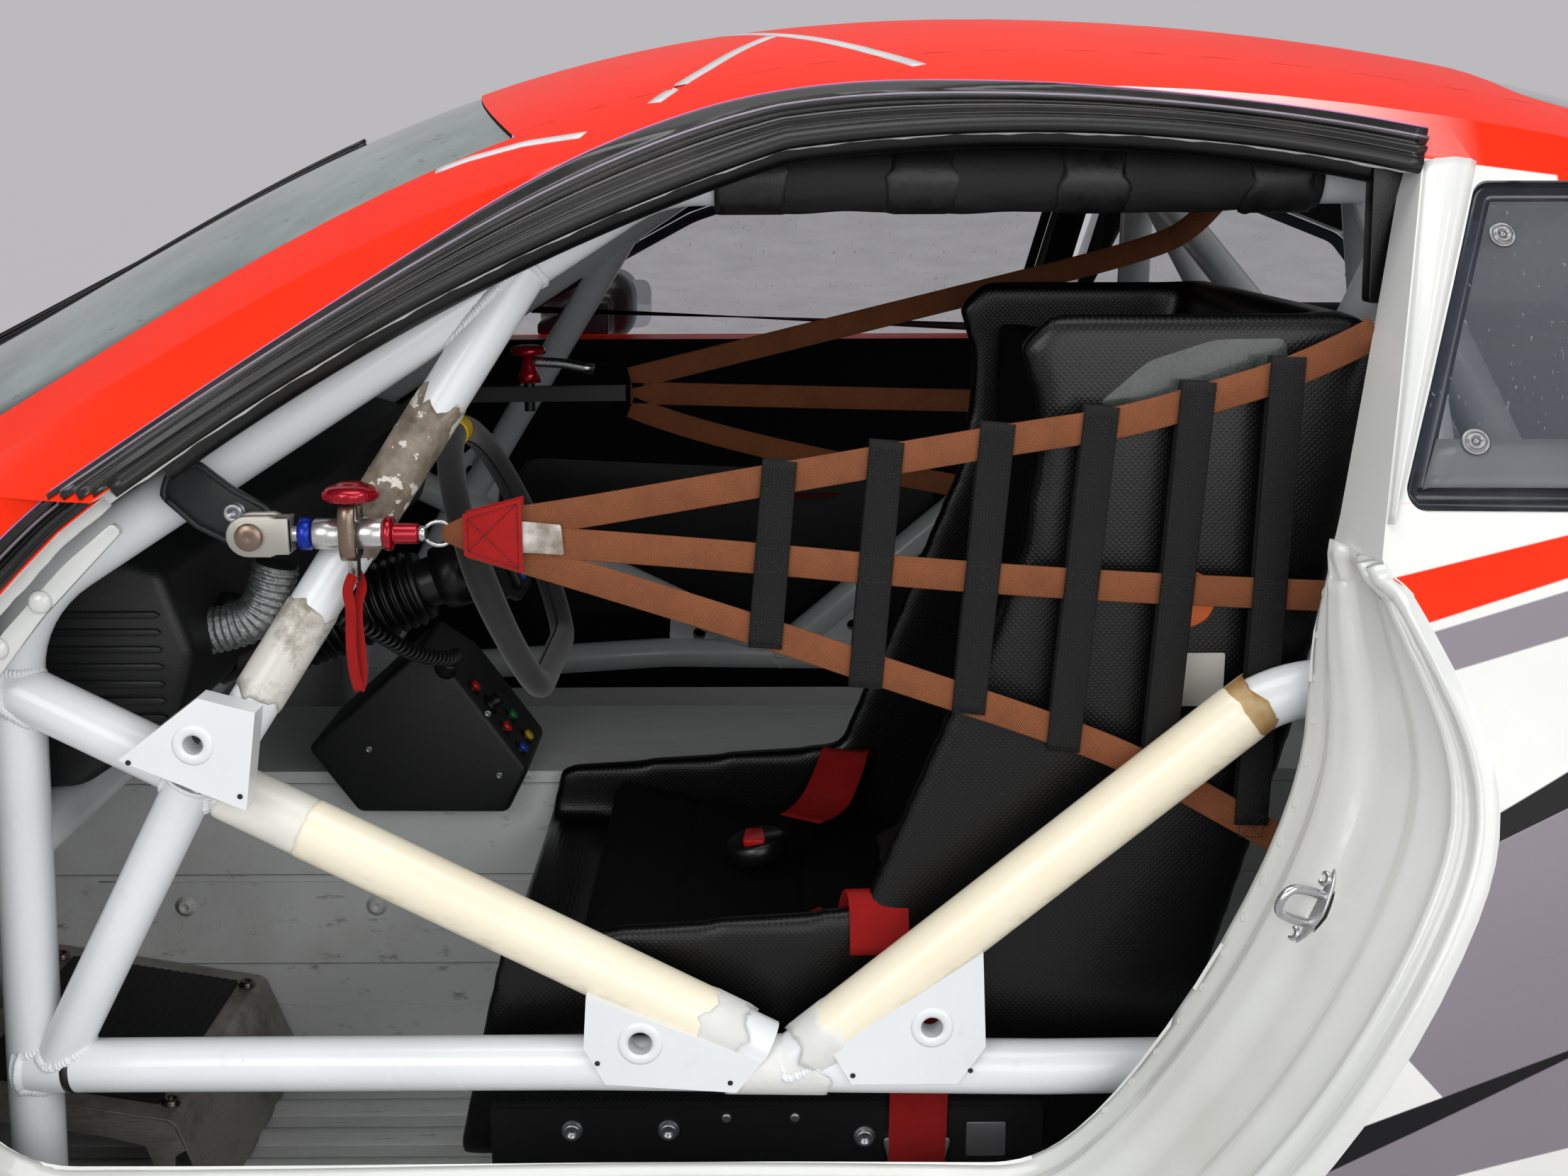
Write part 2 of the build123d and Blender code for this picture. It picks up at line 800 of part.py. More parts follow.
# Window net and its latch
with BuildPart() as net_latch:
    for x_from, x_to, step_r in latch_steps:
        with BuildSketch(Plane.YZ.offset(x_from)):
            with Locations((latch_y, latch_z)):
                Circle(step_r)
        extrude(amount=x_to - x_from)
    add(slab(clevis_line, latch_y - 8, latch_y + 8))
    with BuildSketch(Plane.XY.offset(latch_z - 30)):
        with Locations((knob_x, latch_y)):
            Circle(5)
    extrude(amount=60)
    with BuildSketch(Plane.XY.offset(knob_z - 6)):
        with Locations((knob_x, latch_y)):
            Circle(knob_r)
    extrude(amount=12)
    add(slab(tongue_line, latch_y - 2, latch_y + 2))
with BuildPart() as net_bracket:
    add(slab(bracket_line, latch_y + 8, latch_y + 14))
    add(cage_leg_left.part, mode=Mode.SUBTRACT)
with BuildPart() as window_net:
    for line in (net_top, net_middle, net_low):
        add(strap(line, net_w, net_y))
    for top_x, top_z, low_x, low_z in net_uprights:
        add(strap(((top_x, top_z), (low_x, low_z)), net_cross_w, net_y))
    add(slab(net_patch, net_y - 4, net_y + 4))
    add(net_latch.part, mode=Mode.SUBTRACT)
    add(cage_main_hoop.part, mode=Mode.SUBTRACT)
save(net_latch.part, "net_latch")
save(net_bracket.part, "net_bracket")
save(window_net.part, "window_net")

# Net between the seats
with BuildPart() as centre_net_latch:
    add(slab(centre_latch_line, centre_net_y - 8, centre_net_y + 8))
    with BuildSketch(Plane.XY.offset(latch_z + 20)):
        with Locations((centre_knob_x, centre_net_y)):
            Circle(6)
    extrude(amount=60)
    add(dashboard.part, mode=Mode.SUBTRACT)
with BuildPart() as centre_net:
    for line in (centre_top, centre_middle, centre_low):
        add(strap(line, net_w, centre_net_y))
    add(centre_net_latch.part, mode=Mode.SUBTRACT)
    add(cage_main_hoop.part, mode=Mode.SUBTRACT)
save(centre_net_latch.part, "centre_net_latch")
save(centre_net.part, "centre_net")

# Mirror, wiper and striker
with BuildPart() as right_mirror:
    with Locations(mirror_at):
        Box(*mirror_size)
        fillet(edges(), radius=mirror_round)
    add(other_side(slab(mirror_arm, -mirror_at[1], -door_arm_y)))
    add(other_side(door_blank.part), mode=Mode.SUBTRACT)
save(right_mirror.part, "right_mirror")

with BuildPart() as wiper:
    high = [-wiper_high] * 6
    low = [-wiper_low] * 6
    add(body_form(0, high, -wiper_high, -wiper_high, high))
    add(body_form(0, low, -wiper_low, -wiper_low, low), mode=Mode.SUBTRACT)
    with BuildPart(mode=Mode.INTERSECT):
        with BuildSketch(Plane.XY.offset(600)):
            with BuildLine():
                Polyline(*wiper_line, close=True)
            make_face()
        extrude(amount=700)
    with BuildSketch(Plane.XY.offset(spindle_z)):
        with Locations(spindle_at):
            Circle(spindle_r)
    extrude(amount=spindle_h)
    add(front_bulkhead, mode=Mode.SUBTRACT)
save(wiper.part, "wiper")

with BuildPart() as door_striker:
    with BuildSketch(Plane.XZ.offset(-striker_at[1] - 4)):
        with Locations((striker_at[0], striker_at[2])):
            Rectangle(24, 44)
    extrude(amount=30)
    add(side_frame_left.part, mode=Mode.SUBTRACT)
save(door_striker.part, "door_striker")
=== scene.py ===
from math import cos, pi, radians, sin, tau

import bmesh
import bpy
from mathutils import Matrix, Vector
from mathutils.bvhtree import BVHTree


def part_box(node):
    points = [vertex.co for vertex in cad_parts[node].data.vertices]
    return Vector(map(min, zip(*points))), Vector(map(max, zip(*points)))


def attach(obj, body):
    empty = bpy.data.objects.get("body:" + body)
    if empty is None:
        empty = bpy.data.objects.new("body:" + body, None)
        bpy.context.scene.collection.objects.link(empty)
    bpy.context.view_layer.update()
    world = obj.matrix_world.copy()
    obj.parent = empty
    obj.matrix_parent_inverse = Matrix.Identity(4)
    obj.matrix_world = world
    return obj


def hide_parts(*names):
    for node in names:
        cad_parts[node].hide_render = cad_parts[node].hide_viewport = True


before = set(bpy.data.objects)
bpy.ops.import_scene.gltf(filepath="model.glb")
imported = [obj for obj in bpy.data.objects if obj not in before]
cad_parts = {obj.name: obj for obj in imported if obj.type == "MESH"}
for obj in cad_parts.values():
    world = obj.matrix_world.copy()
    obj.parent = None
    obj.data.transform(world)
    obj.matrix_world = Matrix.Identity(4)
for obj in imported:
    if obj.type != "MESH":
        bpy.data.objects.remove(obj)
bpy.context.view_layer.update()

# The view: from two metres beside the car's centre line, at the driver's open doorway, a little
# above the belt and looking slightly down.
eye = Vector((0, -2.0, 1.03))
camera_data = bpy.data.cameras.new("camera")
camera_data.sensor_width = 36
camera_data.lens = 40.69
look_down = radians(12.95)
look_left = radians(0.6)


def placed(name, data):
    """A new object in the scene."""
    made = bpy.data.objects.new(name, data)
    bpy.context.scene.collection.objects.link(made)
    return made


camera = placed("camera", camera_data)
camera.location = eye
camera.rotation_euler = (radians(90) - look_down, 0, -look_left)
bpy.context.scene.camera = camera


# Curly lead: a black jacketed wire wound into a long spring, which hangs from the dashboard to
# the switch panel. It is moulded in one length, with a straight tail at each end.
class Shade:
    """A socket of a material's nodes. Signs on it add Math nodes, and node() adds any other."""

    def __init__(self, tree, socket=None):
        self.tree = tree
        self.socket = socket

    def node(self, kind, settings=None, sockets=None, output=0):
        made = self.tree.nodes.new("ShaderNode" + kind)
        for name, value in (settings or {}).items():
            setattr(made, name, value)
        for name, value in (sockets or {}).items():
            if isinstance(value, Shade):
                self.tree.links.new(value.socket, made.inputs[name])
            else:
                made.inputs[name].default_value = value
        return Shade(self.tree, made.outputs[output] if len(made.outputs) else None)

    def other(self, output):
        """Another output of the node that this socket is on."""
        return Shade(self.tree, self.socket.node.outputs[output])

    def axis(self, letter):
        """One coordinate of this place or direction."""
        return self.node("SeparateXYZ", None, {0: self}, letter)

    def maths(self, operation, *values):
        return self.node("Math", {"operation": operation}, dict(enumerate((self, *values))))

    def __add__(self, value):
        return self.maths("ADD", value)

    def __sub__(self, value):
        return self.maths("SUBTRACT", value)

    def __rsub__(self, value):
        return self.node("Math", {"operation": "SUBTRACT"}, {0: value, 1: self})

    def __mul__(self, value):
        return self.maths("MULTIPLY", value)

    def __abs__(self):
        return self.maths("ABSOLUTE")

    __radd__ = __add__
    __rmul__ = __mul__

    def ramp(self, low, high):
        """A slope from 0 at low to 1 at high."""
        return self.node("MapRange", None, {0: self, 1: low, 2: high})

    def mix(self, low, high):
        """The colour low where this mask is 0, high where it is 1."""
        return self.node("Mix", {"data_type": "RGBA"}, {0: self, 6: low, 7: high}, 2)

    def noise(self, scale, detail=2, roughness=0.5):
        """Noise over this place."""
        sockets = {"Vector": self, "Scale": scale, "Detail": detail, "Roughness": roughness}
        return self.node("TexNoise", None, sockets)

    def stretched(self, across, along, up):
        """This place with each direction scaled, for a pattern that runs one way."""
        return self.node(
            "Mapping", {"vector_type": "POINT"}, {"Vector": self, "Scale": (across, along, up)},
        )


def tint(*screen):
    """A colour given as it looks on a screen: red, green and blue, 0 to 255 each."""
    return (*(((c / 255 + 0.055) / 1.055) ** 2.4 if c > 10 else c / 255 / 12.92 for c in screen), 1)


def begin(name):
    """A new empty material, and the place on the object that its patterns read."""
    material = bpy.data.materials.new(name)
    material.use_nodes = True
    material.node_tree.nodes.clear()
    place = Shade(material.node_tree).node("TexCoord", output="Object")
    return material, place


def finish(place, colour, roughness, bump=None, bump_height=0.001, **others):
    """Ends a material with its shader: colour, roughness, a height for the bump and any other socket."""
    sockets = {"Base Color": colour, "Roughness": roughness}
    for name, value in others.items():
        sockets[name.replace("_", " ").title().replace("Ior", "IOR")] = value
    if bump is not None:
        sockets["Normal"] = place.node(
            "Bump", None, {"Height": bump, "Distance": bump_height, "Strength": 1.0},
        )
    shader = place.node("BsdfPrincipled", None, sockets)
    place.node("OutputMaterial", None, {"Surface": shader})


def moulded(name, colour, roughness=0.5, grain=900, depth=0.0002, **others):
    """Plain moulded plastic or rubber: a fine grain, with shine and shade that vary a little."""
    material, place = begin(name)
    cloudy = place.noise(9, 3)
    darker = tuple(0.75 * c for c in colour[:3]) + (1,)
    mottled = cloudy.ramp(0.35, 0.75).mix(darker, colour)
    finish(place, mottled, cloudy * 0.16 + (roughness - 0.08), place.noise(grain, 1), depth, **others)
    return material


def spline_of(points, name="line"):
    """A curve with one NURBS spline through the neighbourhood of its points."""
    data = bpy.data.curves.new(name, "CURVE")
    data.dimensions = "3D"
    spline = data.splines.new("NURBS")
    spline.points.add(len(points) - 1)
    for point, place in zip(spline.points, points):
        point.co = (*place, 1)
    spline.order_u = 3
    spline.use_endpoint_u = True
    return data


def settled(holder):
    """The mesh of an object after its modifiers. The object itself goes."""
    mesh = bpy.data.meshes.new_from_object(holder.evaluated_get(bpy.context.evaluated_depsgraph_get()))
    bpy.data.objects.remove(holder)
    return mesh


def line_of(points):
    """The smooth line of a route, as the places along its spline."""
    return [vertex.co.copy() for vertex in settled(placed("line", spline_of(points))).vertices]


def frames(line, step, up=(0, 0, 1)):
    """Even places along a line: each with the distance run, the direction, a side and an upward."""
    line = [Vector(place) for place in line]
    runs = [0.0]
    for a, b in zip(line, line[1:]):
        runs.append(runs[-1] + (b - a).length)
    count = max(2, round(runs[-1] / step) + 1)
    places = []
    k = 0
    for i in range(count):
        run = runs[-1] * i / (count - 1)
        while k < len(line) - 2 and runs[k + 1] < run:
            k += 1
        share = (run - runs[k]) / max(runs[k + 1] - runs[k], 1e-9)
        places.append((run, line[k].lerp(line[k + 1], share)))
    found = []
    side = None
    for i, (run, place) in enumerate(places):
        ahead = (places[min(i + 1, count - 1)][1] - places[max(i - 1, 0)][1]).normalized()
        if side is None:
            side = ahead.cross(Vector(up)).normalized()
        side = (side - ahead * side.dot(ahead)).normalized()
        found.append((run, place, ahead, side, side.cross(ahead)))
    return found


def piece(name, shape, material, body="root"):
    """A finished piece: its mesh or curve in its place, riding on a body."""
    made = placed(name, shape)
    shape.materials.clear()
    shape.materials.append(material)
    if made.type == "MESH":
        for polygon in shape.polygons:
            polygon.use_smooth = True
    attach(made, body)
    return made


lead_route = (
    (-0.498, -0.441, 0.656), (-0.446, -0.438, 0.656), (-0.397, -0.43, 0.646), (-0.376, -0.405, 0.63),
    (-0.359, -0.375, 0.609), (-0.347, -0.343, 0.588), (-0.334, -0.306, 0.571), (-0.32, -0.266, 0.558),
    (-0.318, -0.226, 0.552), (-0.328, -0.19, 0.54), (-0.346, -0.158, 0.516),
)
lead_outside = 0.017
wire = 0.0046
lead_pitch = 0.0088
turn_points = 12
tail = 0.03

black_rubber = moulded("black rubber", tint(26, 26, 28), 0.42, 1400, 0.00015)
lead_frames = frames(line_of(lead_route), lead_pitch / turn_points)
lead_run = lead_frames[-1][0]
coil_points = []
for i, (run, place, ahead, side, upward) in enumerate(lead_frames):
    opened = min(1, max(0, min(run, lead_run - run) - tail / 2) / tail)
    reach = (lead_outside - wire) / 2 * opened * opened * (3 - 2 * opened)
    turn = tau * i / turn_points
    coil_points.append(place + (side * cos(turn) + upward * sin(turn)) * reach)
coil_line = line_of(coil_points)
lead_data = spline_of(coil_points, "curly_lead_coil")
lead_data.splines[0].resolution_u = 2
lead_data.bevel_depth = wire / 2
lead_data.bevel_resolution = 2
lead_data.use_fill_caps = True
lead = piece("curly_lead_coil", lead_data, black_rubber)
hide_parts("curly_lead")


# Bodyshell: pressed steel, welded, then primed and painted white all over. The outside skin is
# covered in orange and grey film, and the section's two cut faces are closed with dark panels.
def dress(material, *names):
    """Gives CAD nodes their finish."""
    for name in names:
        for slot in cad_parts[name].material_slots:
            slot.material = material


orange = tint(238, 30, 1)
orange_light = tint(248, 46, 2)
film_grey = tint(122, 116, 124)
film_black = tint(22, 22, 24)
panel_dark = tint(38, 39, 41)

# Edges of the films on the rear quarter, front point and rear point of each: x, z
stripe_top = ((0.471, 0.764), (0.567, 0.786))
stripe_low = ((0.495, 0.738), (0.562, 0.758))
grey_top = ((0.498, 0.732), (0.561, 0.75))
grey_low = ((0.516, 0.709), (0.558, 0.721))
sliver_top = ((0.526, 0.62), (0.55, 0.634))
sliver_low = ((0.52, 0.596), (0.549, 0.61))
zigzag_top = ((0.439, 0.442), (0.468, 0.411))
zigzag_low = ((0.468, 0.411), (0.389, 0.377))
dark_low = ((0.388, 0.35), (0.44, 0.379))
hem_top = ((0.483, 0.352), (0.556, 0.375))
front_edge = ((-1.06, 0.5), (-0.6, 0.56))
front_line_low = ((-1.06, 0.475), (-0.6, 0.535))
pillar_top = ((0.49, 1.047), (0.6, 1.034))


def shell_paint(name, lined, **sheen):
    """The finish of a shell panel: film outside, and inside white paint or, if lined, black felt."""
    material, place = begin(name)
    x, y, z = (place.axis(letter) for letter in "XYZ")
    nx, ny, nz = (place.other("Normal").axis(letter) for letter in "XYZ")

    def above(edge):
        """1 on the upper side of a film's edge, seen from the side of the car."""
        (start_x, start_z), (end_x, end_z) = edge
        slope = (end_z - start_z) / (end_x - start_x)
        return (z - (x * slope + (start_z - slope * start_x))).ramp(-0.0006, 0.0006)

    outward = ny * y.maths("SIGN")
    side_skin = outward.ramp(0.6, 0.68) * abs(y).ramp(0.62, 0.63)
    roof_side = nz.ramp(0.42, 0.5) * z.ramp(0.72, 0.725)
    wing_top = abs(y).ramp(0.3, 0.31) * z.ramp(0.6, 0.605) * nz.ramp(0.05, 0.1) * (1 - x.ramp(-0.72, -0.7))
    roof_side = roof_side.maths("MAXIMUM", wing_top)
    skin = side_skin.maths("MAXIMUM", roof_side)
    cut_face = abs(nx).ramp(0.9, 0.97) * abs(x + 0.03).ramp(1.02, 1.025)

    orange_film = place.noise(2.5, 3).ramp(0.3, 0.7).mix(orange, orange_light)
    white_film = place.noise(6, 4).ramp(0.25, 0.8).mix(tint(212, 212, 208), tint(228, 228, 226))
    grey_film = place.noise(3, 2).ramp(0.3, 0.7).mix(film_grey, tint(134, 128, 136))
    quarter = (1 - above(sliver_low)).mix(white_film, grey_film)
    for low, top, film in (
        (stripe_low, stripe_top, orange_film), (grey_low, grey_top, grey_film),
        (sliver_low, sliver_top, film_black),
    ):
        quarter = (above(low) * (1 - above(top))).mix(quarter, film)
    zigzag = (1 - above(zigzag_top)) * above(zigzag_low) * (1 - x.ramp(0.4681, 0.4685))
    quarter = zigzag.mix(quarter, white_film)
    quarter = ((1 - above(zigzag_low)) * above(dark_low)).mix(quarter, film_black)
    quarter = (1 - above(hem_top)).mix(quarter, white_film)
    front = above(front_edge).mix(grey_film, orange_film)
    front = (above(front_line_low) * (1 - above(front_edge))).mix(front, white_film)
    side_film = x.ramp(0.36, 0.362).mix(front, quarter)
    skin_colour = z.ramp(0.805, 0.806).mix(side_film, orange_film)
    white_pillar = x.ramp(0.4, 0.402) * (1 - x.ramp(0.6, 0.602)) * z.ramp(0.805, 0.806)
    skin_colour = (white_pillar * (1 - above(pillar_top))).mix(skin_colour, white_film)

    white_paint = place.noise(5, 4).ramp(0.2, 0.8).mix(tint(222, 224, 222), tint(234, 235, 233))
    felt = place.noise(300, 3).ramp(0.2, 0.8).mix(tint(10, 10, 11), tint(20, 20, 22))
    rail_lining = (0 - outward).ramp(0.2, 0.3) * z.ramp(0.86, 0.87)
    inside_colour = felt if lined else rail_lining.mix(white_paint, felt)
    panel = place.noise(700, 2).ramp(0.2, 0.8).mix(panel_dark, tint(46, 47, 50))
    colour = cut_face.mix(skin.mix(inside_colour, skin_colour), panel)
    dull_inside = 0.75 if lined else 0.16
    shine = skin * (0.34 - dull_inside) + place.noise(4, 3) * 0.12 + dull_inside + cut_face * 0.2
    coat = 0.0 if lined else (1 - skin) * (1 - cut_face) * 0.35
    orange_peel = place.noise(260, 2)
    finish(place, colour, shine, orange_peel, 0.00012, coat_weight=coat, coat_roughness=0.06, **sheen)
    return material


body_paint = shell_paint("body paint", False, specular_ior_level=0.15)
lined_paint = shell_paint("body paint with a black lining", True, specular_ior_level=0.15)
dress(body_paint, "side_frame_left", "side_frame_right", "rear_bulkhead")
dress(lined_paint, "roof_skin", "front_bulkhead", "right_door")


# Door jamb: one deep pressing, spot-welded to the shell along its inner flange and painted gloss
# white. It has a step, a flat channel for the striker, a bead and a rounded outer lip.
def surface_of(*names):
    """The surface of CAD nodes, for rays to meet."""
    points = []
    faces = []
    for name in names:
        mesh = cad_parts[name].data
        start = len(points)
        points += [vertex.co.copy() for vertex in mesh.vertices]
        faces += [[start + k for k in polygon.vertices] for polygon in mesh.polygons]
    return BVHTree.FromPolygons(points, faces)


def eased(table, share):
    """A height that eases from one row to the next of a table of shares and heights."""
    for (low, from_height), (high, to_height) in zip(table, table[1:]):
        if share <= high:
            part = (share - low) / (high - low)
            return from_height + (to_height - from_height) * (0.5 - 0.5 * cos(pi * part))
    return table[-1][1]


def mesh_of(form):
    """The mesh of an edited form, which is then done with."""
    mesh = bpy.data.meshes.new("form")
    form.to_mesh(mesh)
    form.free()
    return mesh


def formed(points, faces):
    """A mesh from its points and faces, with doubles merged and its faces turned outwards."""
    form = bmesh.new()
    corners = [form.verts.new(point) for point in points]
    for face in faces:
        form.faces.new([corners[k] for k in face])
    bmesh.ops.remove_doubles(form, verts=form.verts, dist=1e-6)
    bmesh.ops.recalc_face_normals(form, faces=form.faces)
    return mesh_of(form)


def lining(rows, rises, under=0.0015, closed=False):
    """A thin closed skin laid over a surface: rows of place and facing, raised by column."""
    wide = len(rises)
    points = [place + facing * rise for row in rows for (place, facing), rise in zip(row, rises)]
    points += [place - facing * under for row in rows for place, facing in row]
    back = len(rows) * wide
    faces = []
    for i in range(len(rows) if closed else len(rows) - 1):
        here = i * wide
        there = (i + 1) % len(rows) * wide
        for j in range(wide - 1):
            faces.append((here + j, there + j, there + j + 1, here + j + 1))
            faces.append((back + here + j, back + here + j + 1, back + there + j + 1, back + there + j))
        faces.append((here, back + here, back + there, there))
        last = wide - 1
        faces.append((here + last, there + last, back + there + last, back + here + last))
    if not closed:
        for here in (0, (len(rows) - 1) * wide):
            for j in range(wide - 1):
                faces.append((here + j, here + j + 1, back + here + j + 1, back + here + j))
    return formed(points, faces)


jamb_middle = Vector((-0.1, 0, 0.56))
jamb_y = -0.72
jamb_reach = 1.0
jamb_front_end = 174
jamb_rear_end = 381.5
jamb_step = 0.009
# Share of the way from the cabin to the outer skin, and how far the pressing stands in
jamb_pressing = (
    (0, 0.0004), (0.08, 0.001), (0.11, 0.0004), (0.2, 0.011), (0.3, 0.0105), (0.42, 0.003), (0.6, 0.0026),
    (0.64, 0.0062), (0.72, 0.0048), (0.78, 0.003), (0.84, 0.014), (0.89, 0.0034), (0.95, 0.0125),
    (1, 0.0004),
)
jamb_columns = 44
left_surface = surface_of("side_frame_left")


def jamb_at(direction, y):
    """The jamb in one direction from the middle of the doorway at y, or nothing past its edge."""
    place, facing = left_surface.ray_cast((jamb_middle.x, y, jamb_middle.z), direction, jamb_reach)[:2]
    if place is None or facing.y < -0.8:
        return None
    return place, facing


def jamb_edge(direction, known, beyond, drift):
    """The last y of the jamb on the way from a known one, where it drifts by less than a distance."""
    start = jamb_at(direction, known)[0]
    for _ in range(14):
        middle = (known + beyond) / 2
        found = jamb_at(direction, middle)
        if found and (found[0] - start).length < drift + abs(middle - jamb_y):
            known = middle
        else:
            beyond = middle
    return known


shell_white, place = begin("shell white")
grime = place.noise(5, 5, 0.65).ramp(0.5, 0.8) * (1 - place.axis("Z").ramp(0.25, 0.75))
colour = place.noise(4, 4).ramp(0.2, 0.8).mix(tint(204, 206, 203), tint(220, 221, 218))
colour = (grime * 0.35).mix(colour, tint(176, 166, 146))
finish(
    place, colour, place.noise(7, 3) * 0.12 + 0.12, place.noise(240, 2), 0.0001, coat_weight=0.4,
    coat_roughness=0.05,
)

coarse = []
for degree in range(jamb_front_end, round(jamb_rear_end)):
    direction = Vector((cos(radians(degree)), 0, sin(radians(degree))))
    found = jamb_at(direction, jamb_y)
    if found:
        coarse.append(found[0])
jamb_rows = []
for run, place, ahead, side, upward in frames(coarse, jamb_step):
    direction = place - jamb_middle
    direction.y = 0
    direction.normalize()
    if jamb_at(direction, jamb_y) is None:
        continue
    inner = jamb_edge(direction, jamb_y, -0.6, 0.03)
    outer = jamb_edge(direction, jamb_y, -0.94, 0.12)
    row = [
        jamb_at(direction, inner + (outer - inner) * k / (jamb_columns - 1))
        for k in range(jamb_columns)
    ]
    if all(row):
        jamb_rows.append(row)
jamb_rises = [eased(jamb_pressing, k / (jamb_columns - 1)) for k in range(jamb_columns)]
piece("door_jamb_pressing", lining(jamb_rows, jamb_rises), shell_white)


def turned(profile, centre=(0, 0, 0), axis=(0, 0, 1), steps=24):
    """A turned part: its radius at each height in millimetres, along an axis from its centre."""
    spin = Vector(axis).to_track_quat("Z", "Y").to_matrix()
    points = []
    for radius, height in profile:
        for k in range(steps):
            corner = Vector((radius * cos(tau * k / steps), radius * sin(tau * k / steps), height))
            points.append(Vector(centre) + spin @ corner / 1000)
    faces = [list(range(steps)), list(range(len(points) - steps, len(points)))]
    for i in range(0, len(points) - steps, steps):
        for k in range(steps):
            n = (k + 1) % steps
            faces.append((i + k, i + n, i + steps + n, i + steps + k))
    return formed(points, faces)


def seats(spots, facing, ahead=(1, 0, 0)):
    """Places for studs that all face one way."""
    return [(Vector(spot), Vector(facing), Vector(ahead)) for spot in spots]


def studs(name, places, stud, material, spacing=0, uneven=0, seed=1):
    """Like small parts, set by Geometry Nodes at places that have a facing and a direction, or at even
    steps along the line through such places."""
    mesh = bpy.data.meshes.new(name)
    edges = [(i, i + 1) for i in range(len(places) - 1)] if spacing else []
    mesh.from_pydata([place[0] for place in places], edges, [])
    for attribute_name, k in (("facing", 1), ("ahead", 2)):
        attribute = mesh.attributes.new(attribute_name, "FLOAT_VECTOR", "POINT")
        for item, place in zip(attribute.data, places):
            item.vector = place[k]
    holder = placed(name + "_places", mesh)
    pattern = placed(name + "_stud", stud)
    tree = bpy.data.node_groups.new("studs", "GeometryNodeTree")
    for way in ("INPUT", "OUTPUT"):
        tree.interface.new_socket(name="Geometry", in_out=way, socket_type="NodeSocketGeometry")

    def add(kind, sockets, output=0, **settings):
        node = tree.nodes.new(kind)
        for setting, value in settings.items():
            setattr(node, setting, value)
        for socket, source in sockets.items():
            if isinstance(source, bpy.types.NodeSocket):
                tree.links.new(source, node.inputs[socket])
            else:
                node.inputs[socket].default_value = source
        return node.outputs[output] if len(node.outputs) else None

    points = add("NodeGroupInput", {})
    if spacing:
        line = add("GeometryNodeMeshToCurve", {"Mesh": points})
        points = add("GeometryNodeResampleCurve", {"Curve": line, "Length": spacing}, mode="LENGTH")
    turns = None
    for attribute_name, axis in (("facing", "Z"), ("ahead", "X")):
        vector = add("GeometryNodeInputNamedAttribute", {"Name": attribute_name}, data_type="FLOAT_VECTOR")
        sockets = {"Vector": vector, "Rotation": turns} if turns else {"Vector": vector}
        pivot = "Z" if turns else "AUTO"
        turns = add("FunctionNodeAlignRotationToVector", sockets, axis=axis, pivot_axis=pivot)
    size = add("FunctionNodeRandomValue", {2: 1 - uneven, 3: 1 + uneven, "Seed": seed}, 1)
    part = add("GeometryNodeObjectInfo", {"Object": pattern}, "Geometry")
    sockets = {"Points": points, "Instance": part, "Rotation": turns, "Scale": size}
    real = add("GeometryNodeRealizeInstances", {0: add("GeometryNodeInstanceOnPoints", sockets)})
    add("NodeGroupOutput", {0: add("GeometryNodeSetMaterial", {"Geometry": real, "Material": material})})
    holder.modifiers.new("studs", "NODES").node_group = tree
    result = settled(holder)
    bpy.data.objects.remove(pattern)
    return piece(name, result, material)


weld_column = 2
welds = []
for row, next_row in zip(jamb_rows, jamb_rows[1:]):
    place, facing = row[weld_column]
    if facing.z > 0.6:
        welds = []
        continue
    welds.append(
        (place + facing * jamb_rises[weld_column], facing, (next_row[weld_column][0] - place).normalized())
    )
dimple = turned(((3.6, -0.8), (3.6, 0.1), (2.8, 0.3), (2, 0.1), (0.4, 0.05)), steps=14)
studs("jamb_spot_welds", welds, dimple, shell_white, spacing=0.032, uneven=0.1)

# Door striker: a chromed steel bail riveted into an oval plate, held to the jamb by two screws,
# over a thin black shim.
def plate(outline, near, far, bevel=0.001, place=None):
    """A flat part with eased edges: its outline in X and Z, from near to far in Y, then turned."""
    form = bmesh.new()
    near_ring = [form.verts.new((a, near, b)) for a, b in outline]
    far_ring = [form.verts.new((a, far, b)) for a, b in outline]
    form.faces.new(near_ring)
    form.faces.new(far_ring)
    for k in range(len(outline)):
        n = (k + 1) % len(outline)
        form.faces.new((near_ring[k], near_ring[n], far_ring[n], far_ring[k]))
    bmesh.ops.recalc_face_normals(form, faces=form.faces)
    if bevel:
        sharp = [edge for edge in form.edges if edge.calc_face_angle(0) > 0.4]
        bmesh.ops.bevel(
            form, geom=sharp, offset=bevel, segments=2, profile=0.5, affect="EDGES", clamp_overlap=True,
        )
    if place:
        form.transform(place)
    bmesh.ops.recalc_face_normals(form, faces=form.faces)
    return mesh_of(form)


def rectangle(low_a, low_b, high_a, high_b):
    """The outline of a rectangle from its lowest corner to its highest one."""
    return ((low_a, low_b), (high_a, low_b), (high_a, high_b), (low_a, high_b))


def rounded(outline, radius, steps=5):
    """An outline with its corners rounded."""
    points = []
    count = len(outline)
    for k in range(count):
        corner = Vector(outline[k])
        before = Vector(outline[k - 1]) - corner
        after = Vector(outline[(k + 1) % count]) - corner
        reach = min(radius, before.length * 0.45, after.length * 0.45)
        start = corner + before.normalized() * reach
        end = corner + after.normalized() * reach
        for i in range(steps + 1):
            share = i / steps
            points.append(tuple(start.lerp(corner, share).lerp(corner.lerp(end, share), share)))
    return points


def merged(*meshes):
    """Several meshes as one."""
    form = bmesh.new()
    for mesh in meshes:
        form.from_mesh(mesh)
    return mesh_of(form)


